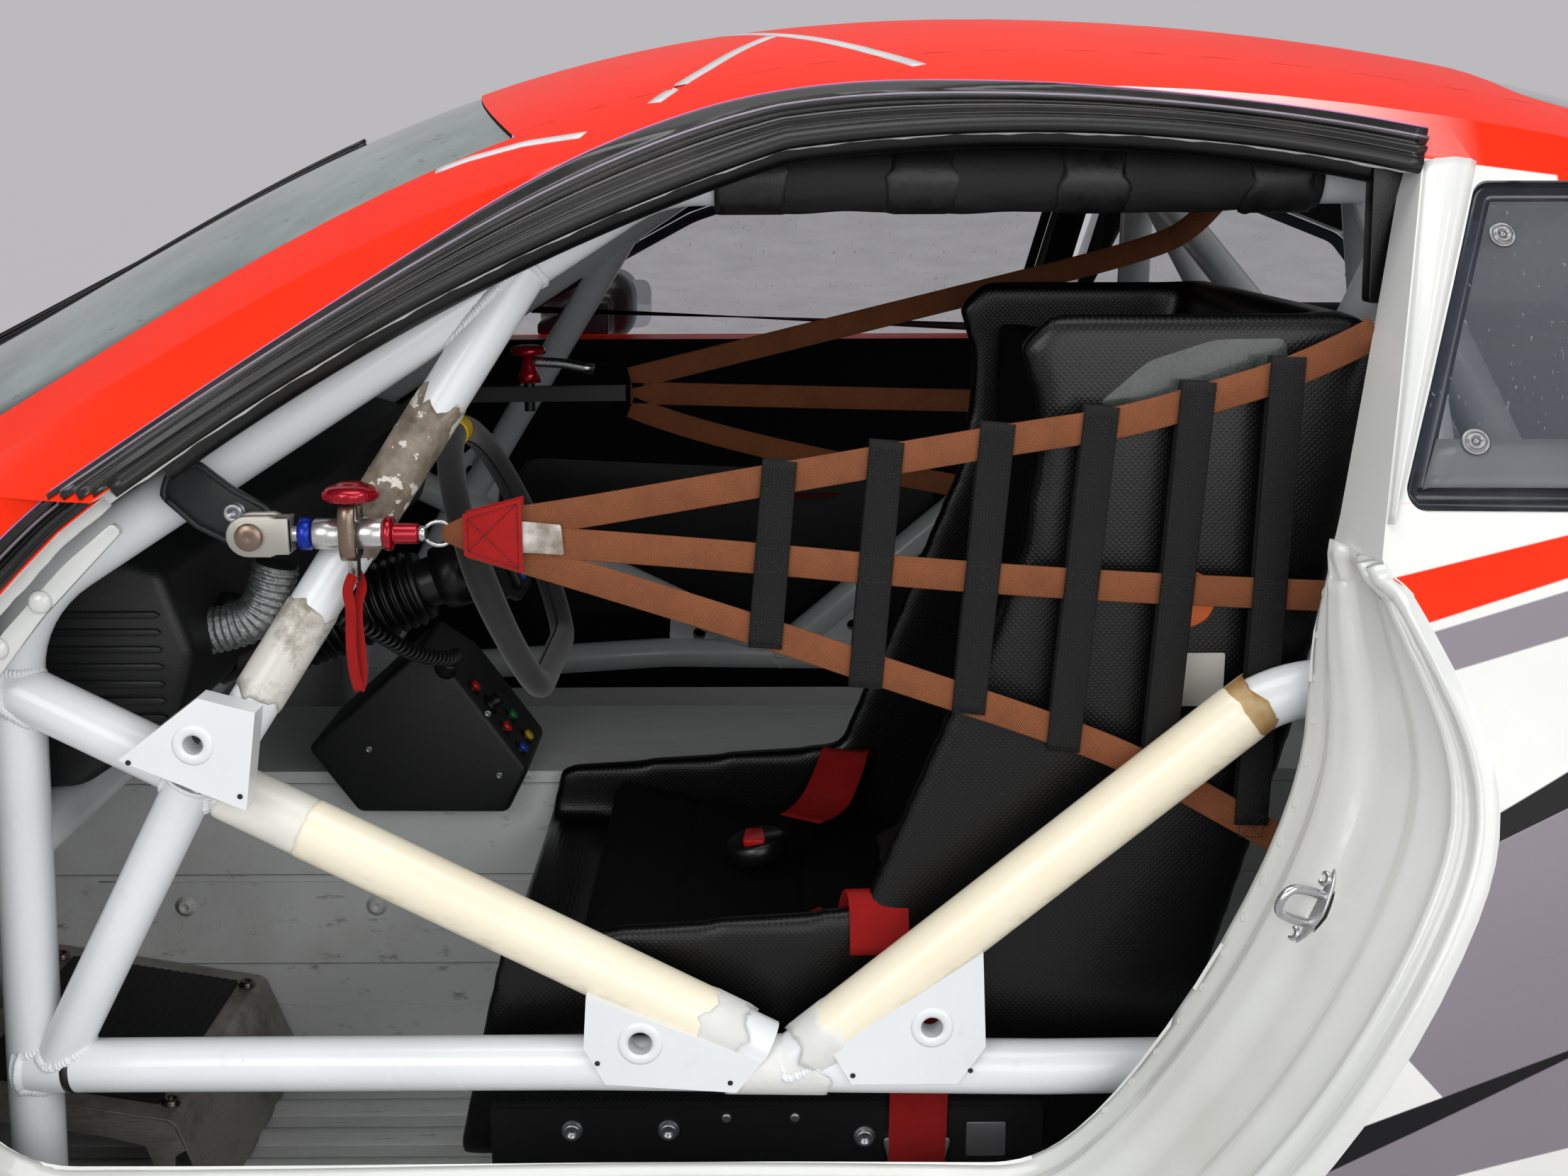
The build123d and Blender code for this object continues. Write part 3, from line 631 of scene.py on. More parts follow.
def swept(stations, profile, closed=False):
    """A closed profile of side and upward carried along frames. Its UV map is in metres: along the
    run, and around the profile. A profile that changes is a function of the share of the run."""
    count = len(stations)
    outlines = [profile(i / (count - 1)) if callable(profile) else profile for i in range(count)]
    wide = len(outlines[0])
    points = []
    for (run, place, ahead, side, upward), outline in zip(stations, outlines):
        points += [place + side * u + upward * v for u, v in outline]
    around = [0.0]
    for a, b in zip(outlines[0], outlines[0][1:] + outlines[0][:1]):
        around.append(around[-1] + (Vector(b) - Vector(a)).length)
    faces = []
    places = []
    for i in range(count if closed else count - 1):
        n = (i + 1) % count
        run = stations[i][0]
        next_run = stations[n][0] if n else run + (stations[0][1] - stations[i][1]).length
        for j in range(wide):
            k = (j + 1) % wide
            faces.append((i * wide + j, n * wide + j, n * wide + k, i * wide + k))
            places += [
                (run, around[j]), (next_run, around[j]), (next_run, around[j + 1]), (run, around[j + 1]),
            ]
    if not closed:
        for i in (0, count - 1):
            faces.append(tuple(i * wide + j for j in range(wide)))
            places += [(stations[i][0] + outlines[i][j][0], outlines[i][j][1]) for j in range(wide)]
    mesh = bpy.data.meshes.new("swept")
    mesh.from_pydata(points, [], faces)
    layer = mesh.uv_layers.new(name="run")
    for loop, at in zip(layer.data, places):
        loop.uv = at
    form = bmesh.new()
    form.from_mesh(mesh)
    bmesh.ops.recalc_face_normals(form, faces=form.faces)
    form.to_mesh(mesh)
    form.free()
    return mesh


def circle(radius, steps=16, squash=1):
    """A round profile, or an oval one."""
    return [(radius * cos(tau * k / steps), radius * squash * sin(tau * k / steps)) for k in range(steps)]


bare_metal, place = begin("bare metal")
brushed = place.stretched(40, 40, 400).noise(8, 3)
colour = brushed.ramp(0.3, 0.7).mix(tint(176, 176, 178), tint(205, 205, 207))
finish(place, colour, brushed * 0.15 + 0.2, brushed, 0.00004, metallic=1.0)
dark_metal = moulded("oiled steel", tint(120, 112, 104), 0.32, 500, 0.0001, metallic=1.0)

striker_x, striker_z = 0.408, 0.5
direction = Vector((striker_x, 0, striker_z)) - jamb_middle
direction.normalize()
striker_y = -0.765
striker_seat, striker_facing = jamb_at(direction, striker_y)
# The striker's own frame: across the jamb, up along it, and out of it
up_jamb = Vector((0, -1, 0)).cross(striker_facing).normalized()
if up_jamb.z < 0:
    up_jamb = -up_jamb
across = up_jamb.cross(striker_facing).normalized()
striker_place = Matrix.Translation(striker_seat + striker_facing * 0.0032) @ Matrix(
    (
        (across.x, striker_facing.x, up_jamb.x, 0), (across.y, striker_facing.y, up_jamb.y, 0),
        (across.z, striker_facing.z, up_jamb.z, 0), (0, 0, 0, 1),
    )
)
oval = [
    (0.0115 * cos(tau * k / 32) * (1.25 - 0.35 * abs(sin(tau * k / 32))), 0.036 * sin(tau * k / 32))
    for k in range(32)
]
shim_oval = [(1.08 * a, 1.04 * b) for a, b in oval]
bail_route = [
    (0.004, 0.002, -0.012), (0.004, 0.03, -0.013), (0.003, 0.038, -0.006), (0.003, 0.038, 0.006),
    (0.004, 0.03, 0.013), (0.004, 0.002, 0.012),
]
bail_line = [striker_place @ Vector(point) for point in line_of(bail_route)]
screw_profile = ((6.2, 0), (6.2, 1.4), (5, 2.6), (2.8, 2.6), (2.6, 0.8), (0.4, 0.6))
striker_parts = [
    plate(oval, 0.0008, 0.004, 0.0008, striker_place), swept(frames(bail_line, 0.0025), circle(0.0036, 14)),
]
for screw_z in (-0.024, 0.024):
    seat = striker_place @ Vector((0, 0.004, screw_z))
    striker_parts.append(turned(screw_profile, seat, striker_facing, 18))
striker = piece("door_striker_bail", merged(*striker_parts), bare_metal)
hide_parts("door_striker")
piece(
    "door_striker_shim", plate(shim_oval, -0.0012, 0.0007, 0.0003, striker_place), black_rubber,
)

# Roof rail: the film ends at a black rubber and aluminium channel, which carries the door seal in
# two ridges. It is pressed over the shell's flange, and a folded white flange shows below it.
def arc_through(start, middle, end, step):
    """Places about a step apart on the circle through three places, each an x and a z."""
    (ax, az), (bx, bz), (cx, cz) = start, middle, end
    double = 2 * (ax * (bz - cz) + bx * (cz - az) + cx * (az - bz))
    a2, b2, c2 = ax * ax + az * az, bx * bx + bz * bz, cx * cx + cz * cz
    mx = (a2 * (bz - cz) + b2 * (cz - az) + c2 * (az - bz)) / double
    mz = (a2 * (cx - bx) + b2 * (ax - cx) + c2 * (bx - ax)) / double
    centre = Vector((mx, mz))
    spoke = Vector(start) - centre
    turn = spoke.angle_signed(Vector(end) - centre)
    count = max(2, round(abs(turn) * spoke.length / step))
    return [centre + Matrix.Rotation(-turn * k / count, 2) @ spoke for k in range(count)]


# The upper edge of the doorway, front to rear: x, z
header_corners = (
    (-0.626, 0.672), (-0.587, 0.716), (-0.531, 0.772), (-0.267, 0.942), (0.015, 1.06), (0.246, 1.072),
    (0.495, 1.042),
)
header_step = 0.01
header = []
for k in (0, 2, 4):
    header += arc_through(*header_corners[k : k + 3], header_step)
header.append(Vector(header_corners[-1]))

# Lower edge of the orange film, front to rear: x, z
film_edge = (
    (-0.665, 0.66), (-0.61, 0.733), (-0.559, 0.783), (-0.504, 0.824), (-0.405, 0.891), (-0.285, 0.967),
    (-0.168, 1.038), (-0.049, 1.087), (0.05, 1.104), (0.139, 1.105), (0.251, 1.1), (0.375, 1.088),
    (0.47, 1.075), (0.548, 1.06),
)
film_line = line_of([(x, 0, z) for x, z in film_edge])
roof_surface = surface_of("side_frame_left", "roof_skin")


def beside(surface, x, z, side=-1):
    """The outside of a surface at x and z, seen from one side: its place and facing, or nothing."""
    found = surface.ray_cast((x, side * 1.3, z), (0, -side, 0), 1.3)[:2]
    return None if found[0] is None else found


def other_side(rows):
    """Places and facings moved to the passenger's side."""
    return [[(Vector((p.x, -p.y, p.z)), Vector((n.x, -n.y, n.z))) for p, n in row] for row in rows]


rail_columns = 26
rail_section = (
    (0, 0.0004), (0.02, 0.0016), (0.3, 0.0014), (0.34, 0.0052), (0.44, 0.006), (0.5, 0.0016),
    (0.56, 0.0012), (0.66, 0.0062), (0.74, 0.0066), (0.82, 0.0018), (0.92, 0.003), (1, 0.001),
)
rail_rows = []
rail_edge = []
for k, corner in enumerate(header):
    before = header[max(k - 1, 0)]
    after = header[min(k + 1, len(header) - 1)]
    run_on = (after - before).normalized()
    outwards = Vector((-run_on.y, run_on.x))
    near_edge = corner + outwards * 0.0015
    film = min(film_line, key=lambda point: (Vector((point.x, point.z)) - corner).length)
    row = []
    for j in range(rail_columns):
        share = j / (rail_columns - 1)
        x = film.x + (near_edge.x - film.x) * share
        row.append(beside(roof_surface, x, film.z + (near_edge.y - film.z) * share))
    if all(row) and row[0][0].y < -0.4 and row[-1][0].y < -0.4:
        rail_rows.append(row)
        rail_edge.append(
            (row[-1][0], Vector((run_on.x, 0, run_on.y)), Vector((-outwards.x, 0, -outwards.y)))
        )
rail_rises = [eased(rail_section, j / (rail_columns - 1)) for j in range(rail_columns)]
seal_rubber, place = begin("door seal rubber")
dusty = place.noise(14, 5, 0.65)
colour = dusty.ramp(0.45, 0.8).mix(tint(14, 12, 12), tint(40, 36, 34))
finish(
    place, colour, dusty * 0.25 + 0.12, place.noise(900, 2), 0.00008, coat_weight=0.2, coat_roughness=0.1,
)
for name, rows in (("rail_channel_left", rail_rows), ("rail_channel_right", other_side(rail_rows))):
    piece(name, lining(rows, rail_rises), seal_rubber)


def ribbon_stations(places, aheads, sides):
    """Frames from places, each with its direction and the side that its width runs to."""
    found = []
    run = 0.0
    for k, (place, ahead, side) in enumerate(zip(places, aheads, sides)):
        if k:
            run += (place - places[k - 1]).length
        found.append((run, place, ahead, side, side.cross(ahead)))
    return found


# Light edge of the aluminium channel, along the ridge nearest to the film
bright_trim = moulded("channel edge", tint(150, 142, 156), 0.3, 600, 0.0001, metallic=0.6)
ridge_column = round(0.4 * (rail_columns - 1))
ridge = [
    row[ridge_column][0] + row[ridge_column][1] * (rail_rises[ridge_column] + 0.0002)
    for row in rail_rows
]
piece("rail_channel_edge", swept(frames(ridge, 0.012), circle(0.0011, 8)), bright_trim)
film_rim = [row[0][0] + row[0][1] * 0.0006 for row in rail_rows]
lilac = moulded("film edge", tint(196, 120, 178), 0.4, 500, 0.00005)
piece("film_edge_line", swept(frames(film_rim, 0.012), circle(0.0008, 8)), lilac)

# Folded flange: 1.4 mm sheet, a little wavy, seam-sealed by hand
flange_drop = 0.0045
flange_in = 0.016
flange_half = 0.005
flange_places = []
for k, (place, ahead, inwards) in enumerate(rail_edge):
    wave = 0.0005 * sin(k * 0.9) + 0.0004 * sin(k * 2.3 + 1)
    flange_places.append(place + Vector((0, flange_in, 0)) + inwards * (flange_drop + wave))
flange_stations = ribbon_stations(
    flange_places, [edge[1] for edge in rail_edge], [edge[2] for edge in rail_edge],
)
flange_section = [
    (-flange_half, 0.0004), (-flange_half * 0.4, 0.0016), (flange_half * 0.7, 0.0012),
    (flange_half, 0.0002), (flange_half * 0.9, -0.0012), (-flange_half, -0.001),
]
piece("header_flange", swept(flange_stations, flange_section), shell_white)


def along_rail(inset, drop, start):
    """The rail's edge behind an x, moved into the cabin and towards the doorway."""
    return [
        place + Vector((0, inset, 0)) + inwards * drop
        for place, ahead, inwards in rail_edge if place.x > start
    ]


# Inner door seal: a hollow rubber bulb that starts a little way up the front pillar
bulb_from = -0.488
bulb_radius = 0.0085
bulb = along_rail(flange_in * 0.2, 0.002, bulb_from)
soft_rubber = moulded("seal bulb", tint(12, 12, 13), 0.38, 700, 0.00015)
piece(
    "door_seal_bulb", swept(frames(bulb, 0.01), circle(bulb_radius, 14, 0.8)), soft_rubber,
)
black_inside = along_rail(0.05, 0.004, bulb_from + 0.02)
piece(
    "headliner_edge", swept(frames(black_inside, 0.014), circle(0.013, 12, 1.2)), soft_rubber,
)

# Rear pillar: a rounded white moulding over the strip between the doorway and the quarter window.
# A hollow rubber buffer hangs at its top, in front of a black guide.
pillar_low_z = 0.792
pillar_top_z = 1.044
pillar_section = ((0, 0.0004), (0.18, 0.0052), (0.5, 0.0072), (0.82, 0.0048), (1, 0.0004))
pillar_columns = 14
pillar_steps = 30
# The strip's edges: where each starts, and how far back it leans as it rises
doorway_x, doorway_z, doorway_lean = 0.418, 0.69, 0.21875
window_x, window_z, window_lean = 0.452, 0.8, 0.361
pillar_rows = []
for k in range(pillar_steps):
    z = pillar_low_z + (pillar_top_z - pillar_low_z) * k / (pillar_steps - 1)
    front_x = doorway_x + (z - doorway_z) * doorway_lean + 0.0015
    rear_x = window_x + (z - window_z) * window_lean - 0.002
    across = [front_x + (rear_x - front_x) * j / (pillar_columns - 1) for j in range(pillar_columns)]
    row = [beside(roof_surface, x, z) for x in across]
    if all(row) and row[0][0].y < -0.4:
        pillar_rows.append(row)
pillar_rises = [eased(pillar_section, j / (pillar_columns - 1)) for j in range(pillar_columns)]
for name, rows in (
    ("rear_pillar_cover_left", pillar_rows), ("rear_pillar_cover_right", other_side(pillar_rows)),
):
    piece(name, lining(rows, pillar_rises), shell_white)

buffer_low = Vector((0.5005, -0.606, 0.946))
buffer_high = Vector((0.508, -0.6, 1.05))
buffer_length = (buffer_high - buffer_low).length * 1000
buffer_section = (
    (0.4, 14), (7.2, 14), (7.4, 0.4), (9, 0), (11.8, 0.6), (12.2, 4), (12, buffer_length - 3),
    (10, buffer_length), (0.4, buffer_length),
)
buffer_axis = buffer_high - buffer_low
guide_outline = ((0.474, 0.936), (0.493, 0.936), (0.514, 1.05), (0.47, 1.052))
grey_rubber = moulded("grey rubber", tint(52, 52, 52), 0.3, 900, 0.00012)
piece("pillar_buffer", turned(buffer_section, buffer_low, buffer_axis), grey_rubber)
guide = plate(rounded(guide_outline, 0.004), -0.598, -0.58, 0.001)
piece("pillar_guide", guide, soft_rubber)

# Front pillar foot: a white reinforcement with two pressed bumps, below the channel.
foot_outline = (
    (-0.632, 0.64), (-0.59, 0.69), (-0.54, 0.742), (-0.5, 0.775), (-0.493, 0.768), (-0.56, 0.7),
    (-0.612, 0.636),
)
foot_parts = [plate(rounded(foot_outline, 0.006), -0.664, -0.656, 0.002)]
for x, z in ((-0.597, 0.676), (-0.56, 0.713)):
    foot_parts.append(turned(((9.5, 0), (9, 2), (6, 4.5), (0.4, 5)), (x, -0.664, z), (0, -1, 0)))
piece("front_pillar_foot", merged(*foot_parts), shell_white)

# Roof film: white lines of cut film, laid on the orange one, the same on both sides.
# Each line's points over the roof: x, y
film_lines = (
    ((-0.268, -0.513), (-0.24, -0.516), (-0.194, -0.53), (-0.143, -0.558)),
    ((-0.089, -0.523), (-0.05, -0.444), (0.007, -0.299)),
    ((-0.039, -0.167), (0.011, -0.289), (0.051, -0.381), (0.088, -0.465), (0.123, -0.536)),
)
film_half = 0.0062
film_white = moulded("white film", tint(226, 226, 228), 0.35, 500, 0.00005)
for k, line in enumerate(film_lines):
    centres = [roof_surface.ray_cast((x, y, 1.3), (0, 0, -1), 0.7)[0] for x, y in line]
    walk = frames(centres, 0.008)
    rows = []
    for run, place, ahead, side, upward in walk:
        seat, facing = roof_surface.find_nearest(place)[:2]
        across = facing.cross(ahead).normalized()
        rows.append([roof_surface.find_nearest(seat + across * film_half * j)[:2] for j in (-1, 0, 1)])
    for name, laid in ((f"roof_line_{k + 1}_left", rows), (f"roof_line_{k + 1}_right", other_side(rows))):
        piece(name, lining(laid, (0.0006, 0.0006, 0.0006), 0.0004), film_white)

# Windows: the windscreen is laminated and tinted, with a printed border. The other windows are
# scratched polycarbonate with a black border, held by stepped screws with rubber washers.
window_glass, place = begin("window glass")
streaks = place.stretched(1, 1, 4).noise(16, 5, 0.6)
scratch = place.stretched(60, 60, 4).noise(5, 2).ramp(0.7, 0.72)
colour = (scratch * 0.5).mix(tint(70, 78, 92), tint(170, 176, 186))
seen_through = streaks * 0.15 + 0.16 + scratch * 0.25
finish(place, colour, streaks * 0.1 + scratch * 0.2 + 0.02, ior=1.45, alpha=seen_through)
dress(window_glass, "rear_window", "quarter_window_left", "quarter_window_right", "right_door_window")

screen_glass, place = begin("screen glass")
specks = place.stretched(1, 1, 1.6).noise(70, 6, 0.75).ramp(0.6, 0.68)
fog = place.noise(7, 4, 0.6)
border = abs(place.axis("Y")).ramp(0.5, 0.53)
colour = fog.ramp(0.3, 0.7).mix(tint(96, 112, 110), tint(142, 156, 152))
colour = (specks * 0.85).mix(colour, tint(20, 26, 26))
colour = border.mix(colour, tint(12, 12, 13))
finish(place, colour, fog * 0.2 + 0.03, ior=1.5, alpha=fog * 0.1 + 0.86)
dress(screen_glass, "windscreen")

border_print, place = begin("window border")
worn = place.noise(20, 4)
colour = worn.ramp(0.4, 0.8).mix(tint(16, 18, 26), tint(34, 36, 44))
finish(place, colour, worn * 0.2 + 0.1, place.noise(400, 2), 0.00004)


def border_of(outline, width, node, corner):
    """A printed border laid on a pane, inside its outline: rows of place and facing."""
    pane = surface_of(node)
    edge = rounded(outline, corner, 6)
    middle = Vector((sum(a for a, b in edge) / len(edge), sum(b for a, b in edge) / len(edge)))
    box_low, box_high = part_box(node)
    side = -1 if box_low[1] + box_high[1] < 0 else 1
    rows = []
    for k, point in enumerate(edge):
        after = Vector(edge[(k + 1) % len(edge)])
        before = Vector(edge[k - 1])
        run_on = after - before
        if run_on.length < 1e-6:
            continue
        inwards = Vector((-run_on.y, run_on.x)).normalized()
        if inwards.dot(middle - Vector(point)) < 0:
            inwards = -inwards
        row = []
        for j in range(4):
            at = Vector(point) + inwards * (0.0015 + width * j / 3)
            row.append(beside(pane, at.x, at.y, side))
        if all(row):
            rows.append(row)
    return rows


quarter_outline = ((0.452, 0.8), (0.535, 1.03), (0.64, 1.03), (0.84, 0.955), (0.92, 0.88), (0.92, 0.8))
door_window_outline = (
    (-0.43, 0.8), (-0.35, 0.856), (-0.11, 0.985), (0.000, 1.022), (0.246, 1.036), (0.43, 1.018),
    (0.385, 0.8),
)
for name, node, outline, body in (
    ("quarter_border_left", "quarter_window_left", quarter_outline, "root"),
    ("quarter_border_right", "quarter_window_right", quarter_outline, "root"),
    ("door_window_border", "right_door_window", door_window_outline, "right_door"),
):
    rows = border_of(outline, 0.014, node, 0.014)
    print_mesh = lining(rows, (0.0003, 0.0005, 0.0005, 0.0003), 0.0003, closed=True)
    piece(name, print_mesh, border_print, body)

# The grey film along the quarter window's foot: the x at the front and rear and the z of each edge
low_front, low_rear, low_z = 0.47, 0.906, 0.813
high_front, high_rear, high_z = 0.484, 0.906, 0.848
foot_steps = 24
# The screws of the quarter window: x, z
screw_places = ((0.552, 0.99), (0.512, 0.846), (0.7, 0.99), (0.88, 0.893), (0.89, 0.832), (0.69, 0.826))
washer_section = (
    (10.5, 0), (10.5, 1.2), (8.5, 2.2), (8, 1), (7, 1), (6.6, 3.4), (4, 3.8), (3.6, 1.2), (2.6, 1.2),
    (2.2, 3), (0.4, 3),
)
grey_film_foot = moulded("grey window film", tint(92, 96, 100), 0.35, 300, 0.00008)
screw_steel = moulded("zinc screw", tint(150, 150, 152), 0.35, 500, 0.0001, metallic=0.9)
for side, node in ((-1, "quarter_window_left"), (1, "quarter_window_right")):
    pane = surface_of(node)
    places = []
    for x, z in screw_places:
        seat, facing = beside(pane, x, z, side)
        places.append((seat + facing * 0.0004, facing, Vector((1, 0, 0))))
    word = "left" if side < 0 else "right"
    studs(f"quarter_screws_{word}", places, turned(washer_section), screw_steel)
    rows = []
    for k in range(foot_steps):
        share = k / (foot_steps - 1)
        low_x = low_front + (low_rear - low_front) * share
        high_x = high_front + (high_rear - high_front) * share
        row = []
        for j in range(4):
            x = low_x + (high_x - low_x) * j / 3
            row.append(beside(pane, x, low_z + (high_z - low_z) * j / 3, side))
        rows.append(row)
    film_mesh = lining(rows, (0.0004, 0.0004, 0.0004, 0.0004), 0.0002)
    piece(f"quarter_film_{word}", film_mesh, grey_film_foot)

# Wiper: a formed steel arm with a rubber blade and its spring steel back, on a nut at the cowl.
screen_surface = surface_of("windscreen", "front_bulkhead", "roof_skin")


def above_screen(x, y, height):
    """A place over the windscreen, at a height above its surface."""
    seat, facing = screen_surface.ray_cast((x, y, 1.5), (0, 0, -1), 1.5)[:2]
    return seat + facing * height


black_gloss = moulded("black coated steel", tint(16, 16, 17), 0.3, 500, 0.0001)
arm_line = [
    above_screen(-1.018 + 0.36 * k / 12, -0.05 + 0.01 * k / 12, 0.007 + 0.006 * sin(pi * k / 12))
    for k in range(13)
]
blade_line = [above_screen(-0.96 + 0.535 * k / 24, -0.054 + 0.016 * k / 24, 0.0042) for k in range(25)]
blade_back = [place + Vector((-0.001, 0, 0.0048)) for place in blade_line]
arm_section = [(-0.008, -0.002), (-0.006, 0.003), (0.006, 0.003), (0.008, -0.002)]
blade_section = [
    (-0.0012, -0.004), (-0.0045, 0.003), (-0.003, 0.0052), (0.003, 0.0052), (0.0045, 0.003),
    (0.0012, -0.004),
]
spoiler_section = [(-0.0065, -0.0012), (-0.002, 0.0024), (0.0045, 0.0016), (0.006, -0.0012)]
nut_section = ((10.5, 0), (10.5, 10), (8.8, 12.5), (6, 15), (0.4, 15.5))
wiper_parts = [
    swept(frames(arm_line, 0.02), arm_section), swept(frames(blade_line, 0.02), blade_section),
    swept(frames(blade_back, 0.02), spoiler_section),
    turned(((13.5, -12), (13.5, 4), (11, 7.5), (0.4, 8)), above_screen(-1.02, -0.05, 0.002), (0, 0, 1)),
    turned(nut_section, above_screen(-1.02, -0.05, 0.006), (0, 0, 1), 6),
]
wiper = piece("wiper_arm_blade", merged(*wiper_parts), black_gloss)
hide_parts("wiper")

# Floor, tunnel and shelf: white painted steel with pressed beads, scuffed by boots. A wavy seam
# of spot welds joins the floor to the tunnel, which has two weld nuts on its side.
floor_paint, place = begin("floor paint")
z = place.axis("Z")
seams = abs((z * 9.3).maths("FRACT") - 0.5).ramp(0.004, 0.012)
upright = z.ramp(0.05, 0.055)
dirt = place.stretched(1, 3, 1).noise(7, 6, 0.65).ramp(0.48, 0.78)
marks = place.stretched(3, 30, 6).noise(9, 6, 0.7).ramp(0.6, 0.7)
base = place.noise(3, 3).ramp(0.3, 0.8).mix(tint(226, 229, 228), tint(238, 240, 239))
colour = (dirt * 0.35).mix(base, tint(176, 170, 156))
colour = (marks * 0.6).mix(colour, tint(66, 62, 56))
height = seams * upright * 0.5 + place.noise(160, 2) * 0.05
finish(place, colour, dirt * 0.2 + 0.3, height, 0.004, coat_weight=0.15)
dress(floor_paint, "floor_pan", "centre_tunnel", "rear_shelf")

floor_z = 0.04
bead_profile = [
    (-0.019, -0.001), (-0.019, 0), (-0.012, 0.0022), (-0.006, 0.0058), (0.006, 0.0058), (0.012, 0.0022),
    (0.019, 0), (0.019, -0.001),
]
bead_from = -0.76
bead_to = 0.56
bead_meshes = []
for y in (-0.585, -0.53, -0.475, -0.42, -0.35, -0.29, -0.23, 0.23, 0.3, 0.37, 0.44, 0.51, 0.58):
    bead_line = [(bead_from + (bead_to - bead_from) * k / 20, y, floor_z + 0.0002) for k in range(21)]
    bead_meshes.append(swept(frames(bead_line, 0.05), [(-a, b) for a, b in bead_profile]))
piece("floor_beads", merged(*bead_meshes), floor_paint)

tunnel_side = -0.125
tunnel_facing = (0, -1, 0)
weld_nut = ((12, 0), (12, 0.8), (7.5, 1.2), (7.5, 4.8), (6.2, 5.6), (4, 5.6), (3.6, 1), (0.4, 1))
nut_places = seats([(x, tunnel_side, 0.232) for x in (-0.655, -0.44)], tunnel_facing)
studs("tunnel_weld_nuts", nut_places, turned(weld_nut), floor_paint)
spot = turned(((3.6, -0.2), (3.4, 0.5), (2, 0.7), (0.4, 0.2)), steps=12)
seam_spots = [(-0.74 + 0.1 * k, tunnel_side, 0.1055 + 0.003 * sin(3.1 * k)) for k in range(14)]
seam_line = seats(seam_spots, tunnel_facing)
studs("tunnel_spot_welds", seam_line, spot, floor_paint, spacing=0.024, uneven=0.15)
lap_line = [(-0.75 + 0.012 * k, tunnel_side - 0.0004, 0.112 + 0.0035 * sin(0.55 * k)) for k in range(108)]
lap_profile = [(-0.0006, -0.0006), (-0.0004, 0.0008), (0.0006, 0.0006), (0.0006, -0.0006)]
upper_lap = [(-0.75 + 0.05 * k, tunnel_side - 0.0003, 0.262) for k in range(27)]
laps = merged(swept(frames(lap_line, 0.008), lap_profile), swept(frames(upper_lap, 0.05), lap_profile))
piece("tunnel_laps", laps, floor_paint)
press_mark = swept(
    frames(line_of([(0, -0.004, 0), (0.003, -0.004, 0), (0.003, 0.004, 0), (0.006, 0.005, 0)]), 0.0012),
    circle(0.0007, 6),
)
marks_row = seats([(x, tunnel_side, 0.209) for x in (-0.663, -0.539)], tunnel_facing)
studs("tunnel_press_marks", marks_row, press_mark, floor_paint, spacing=0.0205)

# Roll cage: seamless steel tube, bent, notched and welded, and painted white with the shell. Each
# joint has a weld bead of small overlapping ripples.
cage_paint, place = begin("cage paint")
cloud = place.noise(5, 4)
smear = place.noise(24, 5, 0.7).ramp(0.6, 0.85)
chips = place.noise(90, 3, 0.6).ramp(0.76, 0.78)
colour = cloud.ramp(0.3, 0.75).mix(tint(221, 225, 227), tint(231, 234, 236))
colour = (smear * 0.3).mix(colour, tint(178, 172, 158))
colour = (chips * 0.6).mix(colour, tint(120, 112, 100))
finish(place, colour, cloud * 0.2 + 0.2, place.noise(500, 2), 0.00008, coat_weight=0.3)
dress(
    cage_paint, "cage_main_hoop", "cage_leg_left", "cage_leg_right", "cage_door_bars_left",
    "cage_door_bars_right", "cage_cross_bars", "cage_rear_stays",
)

main_radius = 0.0225
brace_radius = 0.02
leg_foot = (-0.636, -0.612, 0.043)
knee = (-0.604, -0.612, 0.7)
header_bend = (-0.09, -0.515, 1.032)
hoop_corner = (0.515, -0.5, 1.034)
bar_high = ((-0.614, -0.618, 0.635), (0.0, -0.655, 0.331))
bar_rear = ((0.01, -0.655, 0.309), (0.396, -0.66, 0.636))
bar_low = ((-0.632, -0.618, 0.298), (-0.15, -0.655, 0.318))
bar_low_middle = ((-0.15, -0.655, 0.318), (0.23, -0.655, 0.312))
low_brace = ((-0.462, -0.642, 0.558), (-0.606, -0.62, 0.292))
pillar_brace = ((-0.185, -0.533, 0.977), (-0.44, -0.646, 0.575))
stay_foot = (0.88, -0.44, 0.4)
# A tube's far end, the end that is welded, its radius, and the tube that it meets
weld_joints = (
    (bar_high[1], bar_high[0], main_radius, (leg_foot, knee), main_radius),
    (bar_low[1], bar_low[0], main_radius, (leg_foot, knee), main_radius),
    (low_brace[0], low_brace[1], brace_radius, bar_low, main_radius),
    (low_brace[1], low_brace[0], brace_radius, bar_high, main_radius),
    (pillar_brace[0], pillar_brace[1], brace_radius, bar_high, main_radius),
    (pillar_brace[1], pillar_brace[0], brace_radius, (knee, header_bend), main_radius),
    (bar_rear[1], bar_rear[0], main_radius, bar_low_middle, main_radius),
    (stay_foot, hoop_corner, main_radius, (hoop_corner, (0.515, 0.5, 1.034)), main_radius),
)
ripple = turned(((4.6, -1), (4.6, 0.2), (3.6, 1.1), (1.8, 1.6), (0.4, 1.7)), steps=10)


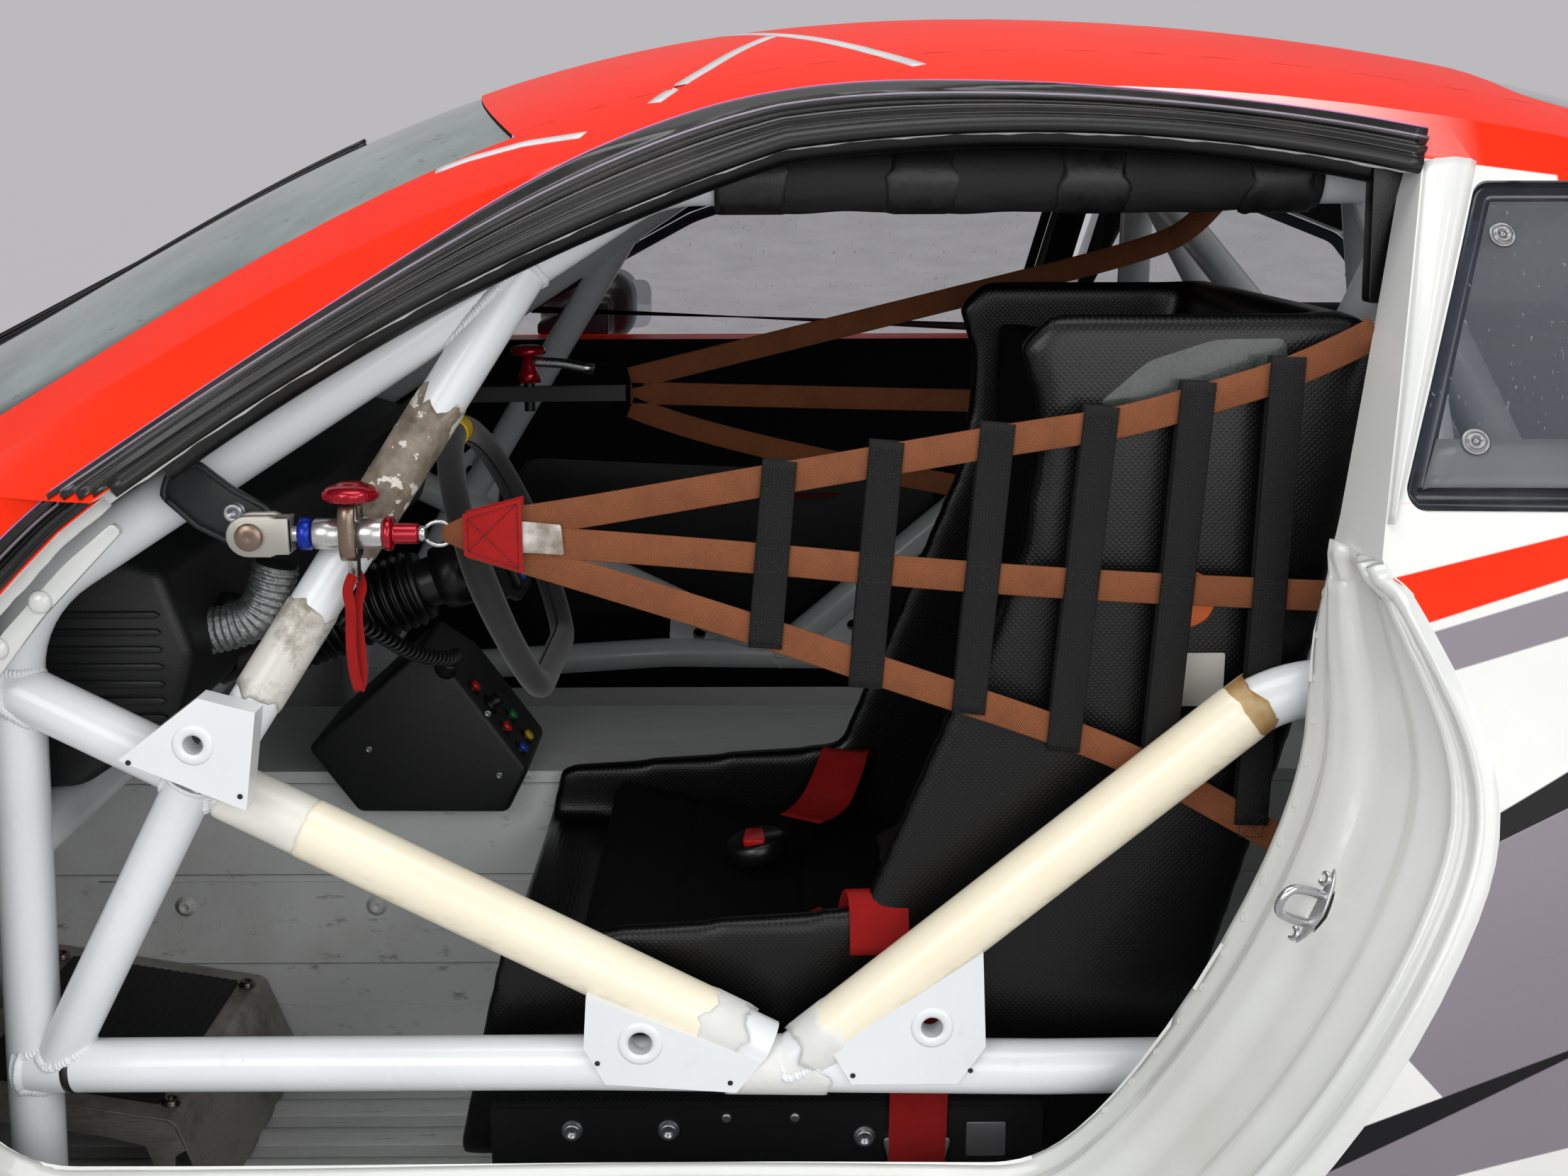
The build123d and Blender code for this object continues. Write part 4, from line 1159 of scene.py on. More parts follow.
def weld_ring(far, end, radius, met, met_radius, steps=40):
    """The line where one tube's surface runs into another: places, facings and directions."""
    ahead = (Vector(end) - Vector(far)).normalized()
    side = ahead.orthogonal().normalized()
    upward = ahead.cross(side)
    axis = (Vector(met[1]) - Vector(met[0])).normalized()
    across = ahead - axis * ahead.dot(axis)
    ring = []
    for k in range(steps + 1):
        around = side * cos(tau * k / steps) + upward * sin(tau * k / steps)
        start = Vector(far) + around * radius
        offset = start - Vector(met[0])
        offset -= axis * offset.dot(axis)
        a = across.dot(across)
        b = offset.dot(across)
        inside = max(0, b * b - a * (offset.dot(offset) - met_radius * met_radius))
        reach = (-b - inside**0.5) / a
        ring.append((start + ahead * reach, (around - ahead).normalized()))
    found = []
    for k, (place, facing) in enumerate(ring):
        after = ring[min(k + 1, steps)][0] - ring[max(k - 1, 0)][0]
        found.append((place, facing, after.normalized()))
    return found


for k, joint in enumerate(weld_joints):
    ring = weld_ring(*joint)
    for side, word in ((1, "left"), (-1, "right")):
        places = [tuple(Vector((v.x, v.y * side, v.z)) for v in place) for place in ring]
        studs(
            f"weld_{k + 1}_{word}", places, ripple, cage_paint, spacing=0.003, uneven=0.12,
            seed=k,
        )

# Gussets: folded sheet boxes between the tubes. Each has a dimpled hole and two small ones. The small holes
# are not cut: each is a flat dark disc on the face, painted shade where a hole would be dark.
dimple_ring = ((0.0, 0.0), (0.003, 0.0014), (0.0062, 0.001), (0.0085, 0.0))
gusset_holes = (((-0.446, 0.602), 0.008), ((-0.103, 0.347), 0.01), ((0.134, 0.36), 0.009))
gusset_face = -0.68
small_holes = (
    (-0.138, 0.33), (-0.03, 0.312), (0.07, 0.318), (0.166, 0.322), (-0.497, 0.588), (-0.412, 0.56),
)
painted_hole_shade = moulded("hole shadow", tint(28, 28, 28), 0.8, 500, 0.0001)
gusset_parts = []
hole_shade_discs = []
for (x, z), hole_radius in gusset_holes:
    ring_profile = [(hole_radius + out, rise) for out, rise in dimple_ring]
    ring_profile += [(hole_radius + 0.0085, -0.002), (hole_radius, -0.002)]
    stations = []
    for k in range(28):
        spoke = Vector((cos(tau * k / 28), 0, sin(tau * k / 28)))
        stations.append(
            (k * 0.001, Vector((x, gusset_face, z)), Vector((0, 0, 1)), spoke, Vector((0, -1, 0)))
        )
    gusset_parts.append(swept(stations, ring_profile, closed=True))
# Each small hole is a thin dark disc on the gusset's face: painted shade, not a hole.
for x, z in small_holes:
    hole_shade_discs.append(turned(((2.2, 0.2), (2.2, 0.6), (0.4, 0.4)), (x, gusset_face, z), (0, -1, 0), 12))
piece("gusset_dimples_left", merged(*gusset_parts), cage_paint)
piece("gusset_small_holes_left", merged(*hole_shade_discs), painted_hole_shade)

# Door bar sleeves: shrunk plastic sleeves over the bars that the driver climbs across, yellowed
# and scuffed. White tape is wound round their joint, and old tape has left its glue on a brace.
def along_bar(bar, start, end, step=0.004):
    """Frames along part of a straight tube, from one share of its length to another."""
    a, b = Vector(bar[0]), Vector(bar[1])
    count = max(2, round((b - a).length * (end - start) / 0.02))
    return frames([a.lerp(b, start + (end - start) * k / count) for k in range(count + 1)], step)


def torn(stations, radius, tear, seed, steps=36):
    """A sleeve whose two ends are torn unevenly, with the thickness of its tape."""
    points = []
    count = len(stations)
    for i, (run, place, ahead, side, upward) in enumerate(stations):
        for k in range(steps):
            turn = tau * k / steps
            ragged = sin(3 * turn + seed) + 0.6 * sin(7 * turn + 2 * seed) + 0.4 * sin(13 * turn + 3 * seed)
            shift = tear * ragged * (0.5 - i / (count - 1)) * 2
            swell = 0.0 if i in (0, count - 1) else 0.0006
            points.append(
                place + ahead * shift + (side * cos(turn) + upward * sin(turn)) * (radius + swell)
            )
    faces = []
    for i in range(count - 1):
        for k in range(steps):
            n = (k + 1) % steps
            faces.append((i * steps + k, i * steps + n, (i + 1) * steps + n, (i + 1) * steps + k))
    faces.append(tuple(range(steps)))
    faces.append(tuple((count - 1) * steps + k for k in range(steps)))
    return formed(points, faces)


sleeve_cream, place = begin("yellowed sleeve")
low_side = place.other("Normal").axis("Z")
# Brown patches only on the sleeves' undersides, fading out as the surface turns upward: darker towards the
# bottom.
underside_brown = place.stretched(3, 3, 8).noise(14, 6, 0.7).ramp(0.5, 0.8) * (1 - low_side.ramp(-0.9, 0.0))
colour = place.noise(8, 4).ramp(0.3, 0.75).mix(tint(242, 232, 206), tint(246, 239, 218))
colour = (underside_brown * 0.8).mix(colour, tint(150, 112, 62))
finish(place, colour, place.noise(20, 4) * 0.2 + 0.22, place.noise(60, 3), 0.0003, coat_weight=0.25)
sleeve_white = moulded("white sleeve", tint(238, 236, 226), 0.32, 300, 0.0002)
burnt, place = begin("burnt sleeve end")
colour = place.noise(30, 4).ramp(0.3, 0.7).mix(tint(196, 170, 122), tint(142, 104, 58))
finish(place, colour, 0.35, place.noise(60, 3), 0.0003)
sleeve_radius = main_radius + 0.0016
# Each sleeve: its name, bar, the shares of the bar it runs between, its radius, tear, seed and finish
sleeves = (
    ("short", bar_high, 0.286, 0.392, sleeve_radius, 0.001, 1, sleeve_white),
    ("front", bar_high, 0.388, 0.955, sleeve_radius + 0.0006, 0.0008, 2, sleeve_cream),
    ("rear", bar_rear, 0.1, 0.955, sleeve_radius + 0.0004, 0.0012, 3, sleeve_cream),
)
for word, bar, start, end, radius, tear, seed, material in sleeves:
    piece(
        f"door_bar_sleeve_{word}", torn(along_bar(bar, start, end), radius, tear, seed), material,
    )
burnt_band = torn(along_bar(bar_rear, 0.945, 0.985), sleeve_radius, 0.002, 5)
piece("door_bar_burnt_band", burnt_band, burnt)
tape_white = moulded("white tape", tint(236, 236, 232), 0.55, 200, 0.0005)
joint_tapes = (
    (bar_high, 0.915, 0.962, 0.003), (bar_rear, 0.062, 0.125, 0.0026), (bar_low_middle, 0.31, 0.52, 0.0016),
)
for k, (bar, start, end, extra) in enumerate(joint_tapes):
    tape_wrap = torn(along_bar(bar, start, end), main_radius + extra, 0.0045, 4 + k)
    piece(f"joint_tape_{k + 1}", tape_wrap, tape_white)

glue_marks, place = begin("old tape")
patchy = place.noise(34, 6, 0.7)
flakes = place.noise(60, 3, 0.6).ramp(0.6, 0.63)
colour = patchy.ramp(0.35, 0.7).mix(tint(96, 84, 70), tint(164, 152, 136))
colour = flakes.mix(colour, tint(216, 212, 204))
finish(place, colour, patchy * 0.3 + 0.3, patchy, 0.0006)
brace_up = pillar_brace[::-1]
old_tape = torn(along_bar(brace_up, 0.43, 0.69), brace_radius + 0.0007, 0.008, 7)
piece("brace_old_tape", old_tape, glue_marks)
dirty_film, place = begin("dirty clear tape")
patchy = place.noise(26, 6, 0.7)
colour = patchy.ramp(0.5, 0.72).mix(tint(208, 206, 198), tint(112, 98, 78))
finish(place, colour, patchy * 0.2 + 0.15, patchy, 0.0003)
clear_tape = torn(along_bar(brace_up, 0.13, 0.3), brace_radius + 0.0006, 0.003, 9)
piece("brace_clear_tape", clear_tape, dirty_film)

# Cable tie round the low bar, with its square head.
tie_stations = along_bar(bar_low, 0.09, 0.104, 0.003)
tie_head = plate(
    rectangle(-0.004, -0.003, 0.004, 0.003), -0.004, 0.004, 0.0008,
    Matrix.Translation((-0.5875, -0.603, 0.322)),
)
tie = merged(torn(tie_stations, main_radius + 0.0008, 0.0, 1), tie_head)
piece("low_bar_cable_tie", tie, black_rubber)

# Roof bar pads: closed-cell foam split along its length, pushed over the bars on both sides and
# bound with four turns of cloth tape.
black_foam, place = begin("black foam")
creases_and_shade = place.stretched(1, 3, 3).noise(26, 5, 0.65)
# Painted shade: the creases' hollows are darker, following the bump.
colour = creases_and_shade.ramp(0.3, 0.8).mix(tint(12, 12, 13), tint(30, 30, 32))
finish(place, colour, creases_and_shade * 0.2 + 0.6, creases_and_shade, 0.0012)
cloth_tape, place = begin("black cloth tape")
weave = place.stretched(1200, 400, 400).noise(1, 1)
wrinkle_and_shade = place.noise(60, 4, 0.6)
# Painted shade: the wrinkles' hollows are darker, following the bump.
colour = wrinkle_and_shade.ramp(0.3, 0.8).mix(tint(14, 14, 15), tint(38, 38, 40))
finish(place, colour, wrinkle_and_shade * 0.2 + 0.34, wrinkle_and_shade + weave * 0.2, 0.0008)
roof_bar = (header_bend, hoop_corner)
pad_from = 0.08
pad_to = 0.9
pad_radius = 0.0285
tape_shares = (0.06, 0.34, 0.62, 0.93)


def pad_profile(share):
    """The pad's outline, lumpy where it is cut and squeezed by its tape."""
    swell = 1 + 0.03 * sin(19 * share) + 0.02 * sin(47 * share + 1)
    squeeze = 1 - 0.06 * sum(max(0, 1 - abs(share - at) / 0.02) for at in tape_shares)
    ends = min(1, min(share, 1 - share) / 0.012) * 0.06 + 0.94
    return [(u * swell * squeeze * ends, v * swell * squeeze * ends) for u, v in circle(pad_radius, 28)]


for side, word in ((1, "left"), (-1, "right")):
    bar = [(x, y * side, z) for x, y, z in roof_bar]
    pad = piece(
        f"roof_bar_pad_{word}", swept(along_bar(bar, pad_from, pad_to), pad_profile), black_foam,
    )
    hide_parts("cage_padding")
    for k, share in enumerate(tape_shares):
        at = pad_from + (pad_to - pad_from) * share
        band = torn(along_bar(bar, at - 0.045, at + 0.045), pad_radius + 0.0008, 0.003, 11 + k)
        piece(f"roof_bar_tape_{word}_{k + 1}", band, cloth_tape)

# Seat: one carbon shell with deep side bolsters, bolted through steel side brackets to the floor.
def copy_of(node):
    """A CAD node's mesh with its loose triangles joined and its flat faces whole."""
    form = bmesh.new()
    form.from_mesh(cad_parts[node].data)
    bmesh.ops.remove_doubles(form, verts=form.verts, dist=1e-5)
    bmesh.ops.dissolve_limit(form, angle_limit=0.02, verts=form.verts, edges=form.edges)
    return mesh_of(form)


def shaped(mesh, *modifiers):
    """A mesh after modifiers, each a kind and its settings."""
    holder = placed("shape", mesh)
    for kind, settings in modifiers:
        modifier = holder.modifiers.new(kind, kind)
        for name, value in settings.items():
            setattr(modifier, name, value)
    return settled(holder)


carbon, place = begin("seat carbon")
turned_place = place.node(
    "Mapping", {"vector_type": "POINT"}, {"Vector": place, "Rotation": (0, radians(45), 0)},
)
waves = {"Vector": turned_place, "Scale": 90, "Distortion": 0.3}
along, across = (place.node("TexWave", {"bands_direction": way}, waves, 1) for way in "XZ")
weave = along * across
colour = weave.ramp(0.0, 0.9).mix(tint(2, 2, 3), tint(10, 11, 11))
scuffs = place.stretched(2, 2, 9).noise(20, 5, 0.7).ramp(0.62, 0.8)
finish(
    place, colour, scuffs * 0.3 + 0.35, weave, 0.00015, coat_weight=0.12, coat_roughness=0.2,
    specular_ior_level=0.3,
)
seat_mesh = shaped(
    copy_of("seat_shell"), ("REMESH", {"mode": "VOXEL", "voxel_size": 0.007}),
    ("SMOOTH", {"factor": 0.5, "iterations": 14}),
)
seat = piece("seat_carbon_shell", seat_mesh, carbon)
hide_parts("seat_shell")

# Seat pads: foam cushions in black knitted cloth, hooked into the shell, with sewn channels.
seat_cloth, place = begin("seat cloth")
knit = place.noise(900, 2)
worn = place.noise(9, 5, 0.6)
colour = (knit * 0.5 + worn * 0.5).ramp(0.3, 0.7).mix(tint(1, 1, 1), tint(5, 5, 6))
finish(place, colour, worn * 0.1 + 0.85, knit + worn, 0.0005, specular_ior_level=0.15)


cushion_voxel = 0.006
settle_frames = 20
groove_deep = 0.005
groove_wide = 0.006


def cushion(node, cap, channels):
    """A pad blown up by cloth simulation, by no more than its cap, and its sewn channels pressed in."""
    base = shaped(
        copy_of(node), ("REMESH", {"mode": "VOXEL", "voxel_size": cushion_voxel}),
        ("SMOOTH", {"factor": 0.5, "iterations": 6}), ("DISPLACE", {"strength": -0.003, "mid_level": 0.0}),
    )
    holder = placed("pad", base.copy())
    cloth = holder.modifiers.new("cloth", "CLOTH")
    cloth.settings.use_pressure = True
    cloth.settings.uniform_pressure_force = 4
    cloth.settings.effector_weights.gravity = 0
    cloth.point_cache.frame_start = 1
    cloth.point_cache.frame_end = settle_frames
    scene = bpy.context.scene
    for step in range(1, settle_frames + 1):
        scene.frame_set(step)
    blown = settled(holder)
    for vertex, rest in zip(blown.vertices, base.vertices):
        moved = vertex.co - rest.co
        if moved.length > cap:
            moved = moved.normalized() * cap
        vertex.co = rest.co + moved
    scene.frame_set(1)
    base = blown
    base = shaped(base, ("SUBSURF", {"levels": 1, "render_levels": 1}))
    for vertex in base.vertices:
        for start, end, normal in channels:
            run_on = Vector(end) - Vector(start)
            offset = vertex.co - Vector(start)
            offset.y = 0
            run_on.y = 0
            share = min(1, max(0, offset.dot(run_on) / run_on.length_squared))
            away = (offset - run_on * share).length
            vertex.co -= Vector(normal) * groove_deep * 2.718 ** -((away / groove_wide) ** 2)
    return base


# Each channel is a line seen from the side, with the way that its face looks
base_channels = (
    ((-0.075, 0, 0.378), (-0.075, 0, 0.378001), (-0.15, 0, 0.99)),
    ((0.035, 0, 0.356), (0.035, 0, 0.356001), (-0.15, 0, 0.99)),
)
back_channels = (
    ((0.235, 0, 0.49), (0.235, 0, 0.490001), (-0.93, 0, 0.35)),
    ((0.275, 0, 0.6), (0.275, 0, 0.600001), (-0.93, 0, 0.35)),
)
for node, name, cap, channels in (
    ("seat_base_cushion", "seat_base_pad", 0.007, base_channels),
    ("seat_back_cushion", "seat_back_pad", 0.007, back_channels),
    ("seat_head_pads", "seat_head_rests", 0.006, ()),
):
    pad = piece(name, cushion(node, cap, channels), seat_cloth)
    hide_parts(node)

black_steel = moulded("black steel", tint(20, 20, 22), 0.35, 400, 0.0001)
dress(black_steel, "seat_brackets", "steering_column")
zinc = moulded("zinc", tint(170, 172, 176), 0.35, 400, 0.0001, metallic=0.9)
bracket_face = -0.614
bracket_facing = (0, -1, 0)
torx = ((9.5, 0), (9.5, 1.2), (8, 1.6), (7.8, 4.4), (6.6, 5.4), (4.2, 5.4), (3.4, 2), (0.4, 1.8))
bolt_spots = ((-0.168, bracket_face, 0.232), (-0.085, bracket_face, 0.232), (0.084, bracket_face, 0.225))
studs("seat_bracket_bolts", seats(bolt_spots, bracket_facing), turned(torx, steps=18), zinc)
rivet_spots = ((-0.035, bracket_face, 0.243), (0.024, bracket_face, 0.243))
rivet = turned(((4.5, 0), (4.3, 1), (2.6, 1.8), (0.4, 1.4)), steps=14)
studs("seat_bracket_rivets", seats(rivet_spots, bracket_facing), rivet, zinc)
blank_plate = plate(
    rounded(rectangle(0.172, 0.206, 0.206, 0.238), 0.002), bracket_face - 0.0008, bracket_face - 0.0001,
    0.0002,
)
piece("seat_blank_plate", blank_plate, zinc)

bare_carbon, place = begin("bare carbon")
ply = place.stretched(500, 500, 500)
ply_height = (ply.noise(1, 1) * 0.5 + place.noise(60, 3) * 0.5).ramp(0.3, 0.7)
finish(
    place, ply_height.mix(tint(34, 40, 38), tint(70, 78, 74)), ply_height * 0.2 + 0.3, ply_height, 0.0002,
    coat_weight=0.3,
)
wing_outline = ((0.262, 0.858), (0.3, 0.892), (0.352, 0.909), (0.408, 0.91), (0.412, 0.872), (0.33, 0.852))
piece(
    "seat_wing_bare_patch", plate(rounded(wing_outline, 0.008), -0.6088, -0.6072, 0.0004), bare_carbon,
)

# Seat marks: a blank round orange patch and a blank white label on the backrest's inner face.
patch_orange = moulded("orange patch", tint(232, 104, 20), 0.4, 500, 0.00008)
label_white = moulded("blank label", tint(206, 206, 198), 0.5, 500, 0.00008)
seat_y = -0.372
wing_half = 0.236
wing_face = seat_y - wing_half - 0.0006
round_mark = turned(
    ((23.5, -0.6), (23.5, 0.4), (22.5, 0.6), (0.4, 0.6)), (0.34, wing_face, 0.7), (0, -1, 0), 32,
)
piece("seat_round_mark", round_mark, patch_orange)
label = plate(
    rounded(rectangle(0.322, 0.61, 0.374, 0.655), 0.002), wing_face - 0.0006, wing_face + 0.0004, 0.0002,
)
piece("seat_blank_label", label, label_white)

# Belts: red polyester webbing with turned hems. The lap straps come up from an eye on the bracket
# over the bolsters, and black shoulder straps hang through the backrest's slots.
def webbing(name, edge, middle, line_scale=1.0):
    """Woven webbing, read from the strap's own map: ribs along it and picks across it. Its colour edge goes
    in the weave's grooves and middle on its crowns, as painted shade.
    """
    material, place = begin(name)
    run = place.node("UVMap", {"uv_map": "run"})
    ribs = run.axis("X") * (640 / line_scale)
    picks = run.axis("Y") * (1500 / line_scale)
    phase = picks.maths("FLOORED_MODULO", 2).ramp(0.9, 1.1) * 0.5
    rib = abs((ribs + phase).maths("FRACT") - 0.5) * 2
    warp = abs(picks.maths("FRACT") - 0.5) * 2
    dust = place.noise(30, 4, 0.6)
    height = rib * (1 - warp * 0.5)
    # Painted shade: the colour follows the weave's height, the dark edge colour in the grooves and the
    # light middle colour on the crowns.
    colour = height.ramp(0.1, 0.8).mix(edge, middle)
    colour = (dust.ramp(0.45, 0.8) * 0.35).mix(colour, tuple(0.55 * c for c in edge[:3]) + (1,))
    finish(place, colour, dust * 0.15 + 0.55, height, 0.0006, specular_ior_level=0.3)
    return material


def strap_profile(width, thick):
    """A flat strap's section with rounded hems."""
    a, b = width / 2, thick / 2
    return [
        (-a, -b * 0.4), (-a + 0.0012, -b), (a - 0.0012, -b), (a, -b * 0.4), (a, b * 0.4), (a - 0.0012, b),
        (-a + 0.0012, b), (-a, b * 0.4),
    ]


def straps(routes, width, thick, step=0.008, up=(0, 1, 0)):
    """Flat straps along routes, their width square to up, as one mesh, and their whole length."""
    walks = [frames(line_of(route), step, up) for route in routes]
    section = strap_profile(width, thick)
    return merged(*(swept(walk, section) for walk in walks)), sum(walk[-1][0] for walk in walks)


red_belt = webbing("red belt", tint(120, 6, 6), tint(206, 16, 14))
black_belt = webbing("black belt", tint(8, 8, 9), tint(28, 28, 30))
belt_width = 0.05
belt_thick = 0.0016
belt_routes = (
    (
        ((0.128, -0.6175, 0.178), (0.13, -0.6175, 0.23), (0.13, -0.6175, 0.3), (0.126, -0.62, 0.36)),
        (1, 0, 0.05), red_belt,
    ),
    (
        (
            (0.095, -0.617, 0.395), (0.095, -0.612, 0.43), (0.093, -0.595, 0.447), (0.088, -0.578, 0.432),
            (0.084, -0.57, 0.395), (0.06, -0.545, 0.38), (0.03, -0.515, 0.385),
        ),
        (1, 0, 0), red_belt,
    ),
    (
        (
            (0.095, -0.15, 0.4), (0.088, -0.168, 0.438), (0.08, -0.186, 0.415), (0.06, -0.215, 0.378),
            (0.035, -0.25, 0.38),
        ),
        (1, 0, 0), red_belt,
    ),
    (
        (
            (0.455, -0.43, 0.86), (0.425, -0.43, 0.84), (0.395, -0.425, 0.8), (0.35, -0.415, 0.7),
            (0.29, -0.4, 0.58), (0.205, -0.385, 0.44), (0.11, -0.38, 0.395),
        ),
        (0, 1, 0), black_belt,
    ),
    (
        (
            (0.455, -0.31, 0.86), (0.425, -0.31, 0.84), (0.395, -0.315, 0.8), (0.35, -0.325, 0.7),
            (0.29, -0.34, 0.58), (0.205, -0.355, 0.44), (0.11, -0.362, 0.395),
        ),
        (0, 1, 0), black_belt,
    ),
)
lap_meshes = []
shoulder_meshes = []
for points, up, material in belt_routes:
    # Each station's width runs along up, so the strap lies flat on what it crosses
    stations = []
    for run, place, ahead, side, upward in frames(line_of(points), 0.008):
        width_way = (Vector(up) - ahead * ahead.dot(Vector(up))).normalized()
        stations.append((run, place, ahead, width_way, width_way.cross(ahead)))
    mesh = swept(stations, strap_profile(belt_width, belt_thick))
    if material is red_belt:
        lap_meshes.append(mesh)
    else:
        shoulder_meshes.append(mesh)
lap_belts = piece("lap_belts", merged(*lap_meshes), red_belt)
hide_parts("harness_belts")
shoulder_belts = piece("shoulder_belts", merged(*shoulder_meshes), black_belt)
eye_outline = rounded(
    ((-0.03, 0), (0.03, 0), (0.024, 0.022), (0.01, 0.046), (-0.01, 0.046), (-0.024, 0.022)), 0.006,
)
eye_place = Matrix.Translation((0.129, -0.6155, 0.225)) @ Matrix.Rotation(pi, 4, "Y")
belt_eye = merged(
    plate(eye_outline, -0.0025, 0.0005, 0.0006, eye_place),
    turned(torx, (0.129, -0.6178, 0.19), (0, -1, 0), 18),
)
piece("belt_eye", belt_eye, zinc)
buckle_red = moulded("red lever", tint(196, 14, 16), 0.3, 500, 0.0001)
buckle_black = moulded("black buckle", tint(14, 14, 15), 0.3, 500, 0.0001)
buckle_disc = turned(
    ((28, -14), (30, -10), (30, 4), (26, 8), (0.4, 8.5)), (-0.01, -0.372, 0.4), (-0.2, 0, 1), 36,
)
piece("belt_buckle", buckle_disc, buckle_black)
lever_outline = rounded(((-0.011, -0.024), (0.011, -0.024), (0.008, 0.01), (-0.008, 0.01)), 0.004)
lever_place = Matrix.Translation((-0.012, -0.372, 0.4095)) @ Matrix.Rotation(radians(-90), 4, "X")
lever = plate(lever_outline, -0.003, 0.003, 0.0012, lever_place)
piece("belt_buckle_lever", lever, buckle_red)

# Window net: three tan straps fan out from the latch to the main hoop. Six black ribbed straps
# are sewn across them with boxed crosses, and a red patch gathers the tan ones at the front.
net_y = -0.632
net_thick = 0.0024
net_width = 0.025
upright_width = 0.027
net_top = (
    (-0.232, 0.7645), (-0.195, 0.768), (-0.011, 0.8), (0.193, 0.835), (0.273, 0.846), (0.347, 0.867),
    (0.416, 0.888), (0.47, 0.916),
)
net_middle = (
    (-0.232, 0.757), (-0.195, 0.755), (-0.011, 0.741), (0.099, 0.73), (0.238, 0.719), (0.382, 0.711),
    (0.535, 0.704),
)
net_low = (
    (-0.232, 0.7525), (-0.195, 0.742), (-0.012, 0.684), (0.09, 0.648), (0.226, 0.602), (0.302, 0.571),
    (0.373, 0.53), (0.535, 0.436),
)
# x and z at the top and at the foot of each upright strap
net_uprights = (
    ((0.011, 0.818), (-0.001, 0.668)), ((0.094, 0.833), (0.079, 0.635)), ((0.18, 0.847), (0.162, 0.613)),
    ((0.26, 0.86), (0.239, 0.581)), ((0.334, 0.879), (0.316, 0.552)), ((0.402, 0.898), (0.395, 0.518)),
)
net_tan = webbing("tan webbing", tint(86, 48, 28), tint(180, 106, 62), 1.4)
net_black = webbing("black ribbed webbing", tint(5, 5, 5), tint(18, 18, 19), 1.8)
thread_black = moulded("black thread", tint(16, 16, 17), 0.6, 900, 0.0001)
thread_red = moulded("dark red thread", tint(60, 6, 8), 0.6, 900, 0.0001)


net_lines = (net_top, net_middle, net_low)
net_bow = 0.004
net_routes = []
for line in net_lines:
    bows = [net_bow * sin(pi * k / (len(line) - 1)) for k in range(len(line))]
    net_routes.append([(x, net_y - bow, z) for bow, (x, z) in zip(bows, line)])
tan_mesh, tan_length = straps(net_routes, net_width, net_thick)
tan_straps = piece("window_net_straps", tan_mesh, net_tan)
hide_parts("window_net")

stitch_chains = []
stitch_in = 0.0095
net_front = net_y - 0.0068
net_back = net_y + 0.003
around_box = (0, 1, 2, 3, 0, 2, 1, 3)


def crossing(top, foot, line):
    """Where an upright meets one of the net's straps, seen from the side."""
    for (ax, az), (bx, bz) in zip(line, line[1:]):
        run_x, run_z = bx - ax, bz - az
        down_x, down_z = foot[0] - top[0], foot[1] - top[1]
        cross = run_x * down_z - run_z * down_x
        share = ((top[0] - ax) * down_z - (top[1] - az) * down_x) / cross
        if 0 <= share <= 1:
            return Vector((ax + run_x * share, 0, az + run_z * share))
    return None


upright_routes = []
for top, foot in net_uprights:
    for y in (net_front, net_back):
        middle = ((top[0] + foot[0]) / 2, y - 0.0006, (top[1] + foot[1]) / 2)
        upright_routes.append(((top[0], y, top[1]), middle, (foot[0], y, foot[1])))
    down = Vector((foot[0] - top[0], 0, foot[1] - top[1])).normalized()
    aside = Vector((-down.z, 0, down.x))
    for line in net_lines:
        middle = crossing(top, foot, line)
        if middle:
            middle.y = net_front - net_thick / 2
            corners = [
                middle + (down * a + aside * b) * stitch_in
                for a, b in ((-1, -1), (-1, 1), (1, 1), (1, -1))
            ]
            stitch_chains.append([corners[k] for k in around_box])
upright_mesh, upright_length = straps(upright_routes, upright_width, net_thick)
uprights = piece("window_net_uprights", upright_mesh, net_black)

stitch = swept(frames([(-0.0011, 0, 0), (0, 0, 0.0002), (0.0011, 0, 0)], 0.0006), circle(0.00035, 6))


def sewn(name, chains, facing, material):
    """Rows of stitches along chains of corners, each stitch a little proud of its cloth."""
    places = []
    for chain in chains:
        for a, b in zip(chain, chain[1:]):
            count = max(1, round((b - a).length / 0.0032))
            run_on = (b - a).normalized()
            places += [(a.lerp(b, (i + 0.5) / count), facing, run_on) for i in range(count)]
    return studs(name, places, stitch, material, uneven=0.1)


sewn("window_net_stitches", stitch_chains, Vector((0, -1, 0)), thread_black)

patch_red = webbing("red patch", tint(150, 10, 12), tint(206, 22, 22), 1.0)
patch_outline = ((-0.236, 0.744), (-0.236, 0.777), (-0.19, 0.789), (-0.19, 0.73))
patch_meshes = [plate(patch_outline, y, y + 0.0016, 0.0005) for y in (net_y - 0.01, net_y + 0.0045)]
for mesh in patch_meshes:
    layer = mesh.uv_layers.new(name="run")
    for loop, at in zip(mesh.loops, layer.data):
        corner = mesh.vertices[loop.vertex_index].co
        at.uv = (corner.z, corner.x)
patch = piece("window_net_patch", merged(*patch_meshes), patch_red)
front_y = net_y - 0.0102
patch_corners = [
    Vector((x, front_y, z))
    for x, z in ((-0.2325, 0.7475), (-0.2325, 0.7735), (-0.1935, 0.7855), (-0.1935, 0.7335))
]
sewn(
    "window_net_patch_stitches", [[patch_corners[k] for k in around_box]], Vector((0, -1, 0)), thread_red,
)

clear_plastic, place = begin("clear tab")
haze = place.noise(60, 3)
colour = haze.ramp(0.4, 0.7).mix(tint(150, 140, 128), tint(224, 220, 214))
finish(place, colour, haze * 0.1 + 0.05, alpha=haze * 0.2 + 0.6)
tab = plate(
    rounded(((-0.192, 0.746), (-0.192, 0.771), (-0.16, 0.768), (-0.158, 0.744)), 0.002), net_y - 0.0075,
    net_y - 0.0066, 0.0003,
)
piece("window_net_clear_tab", tab, clear_plastic)

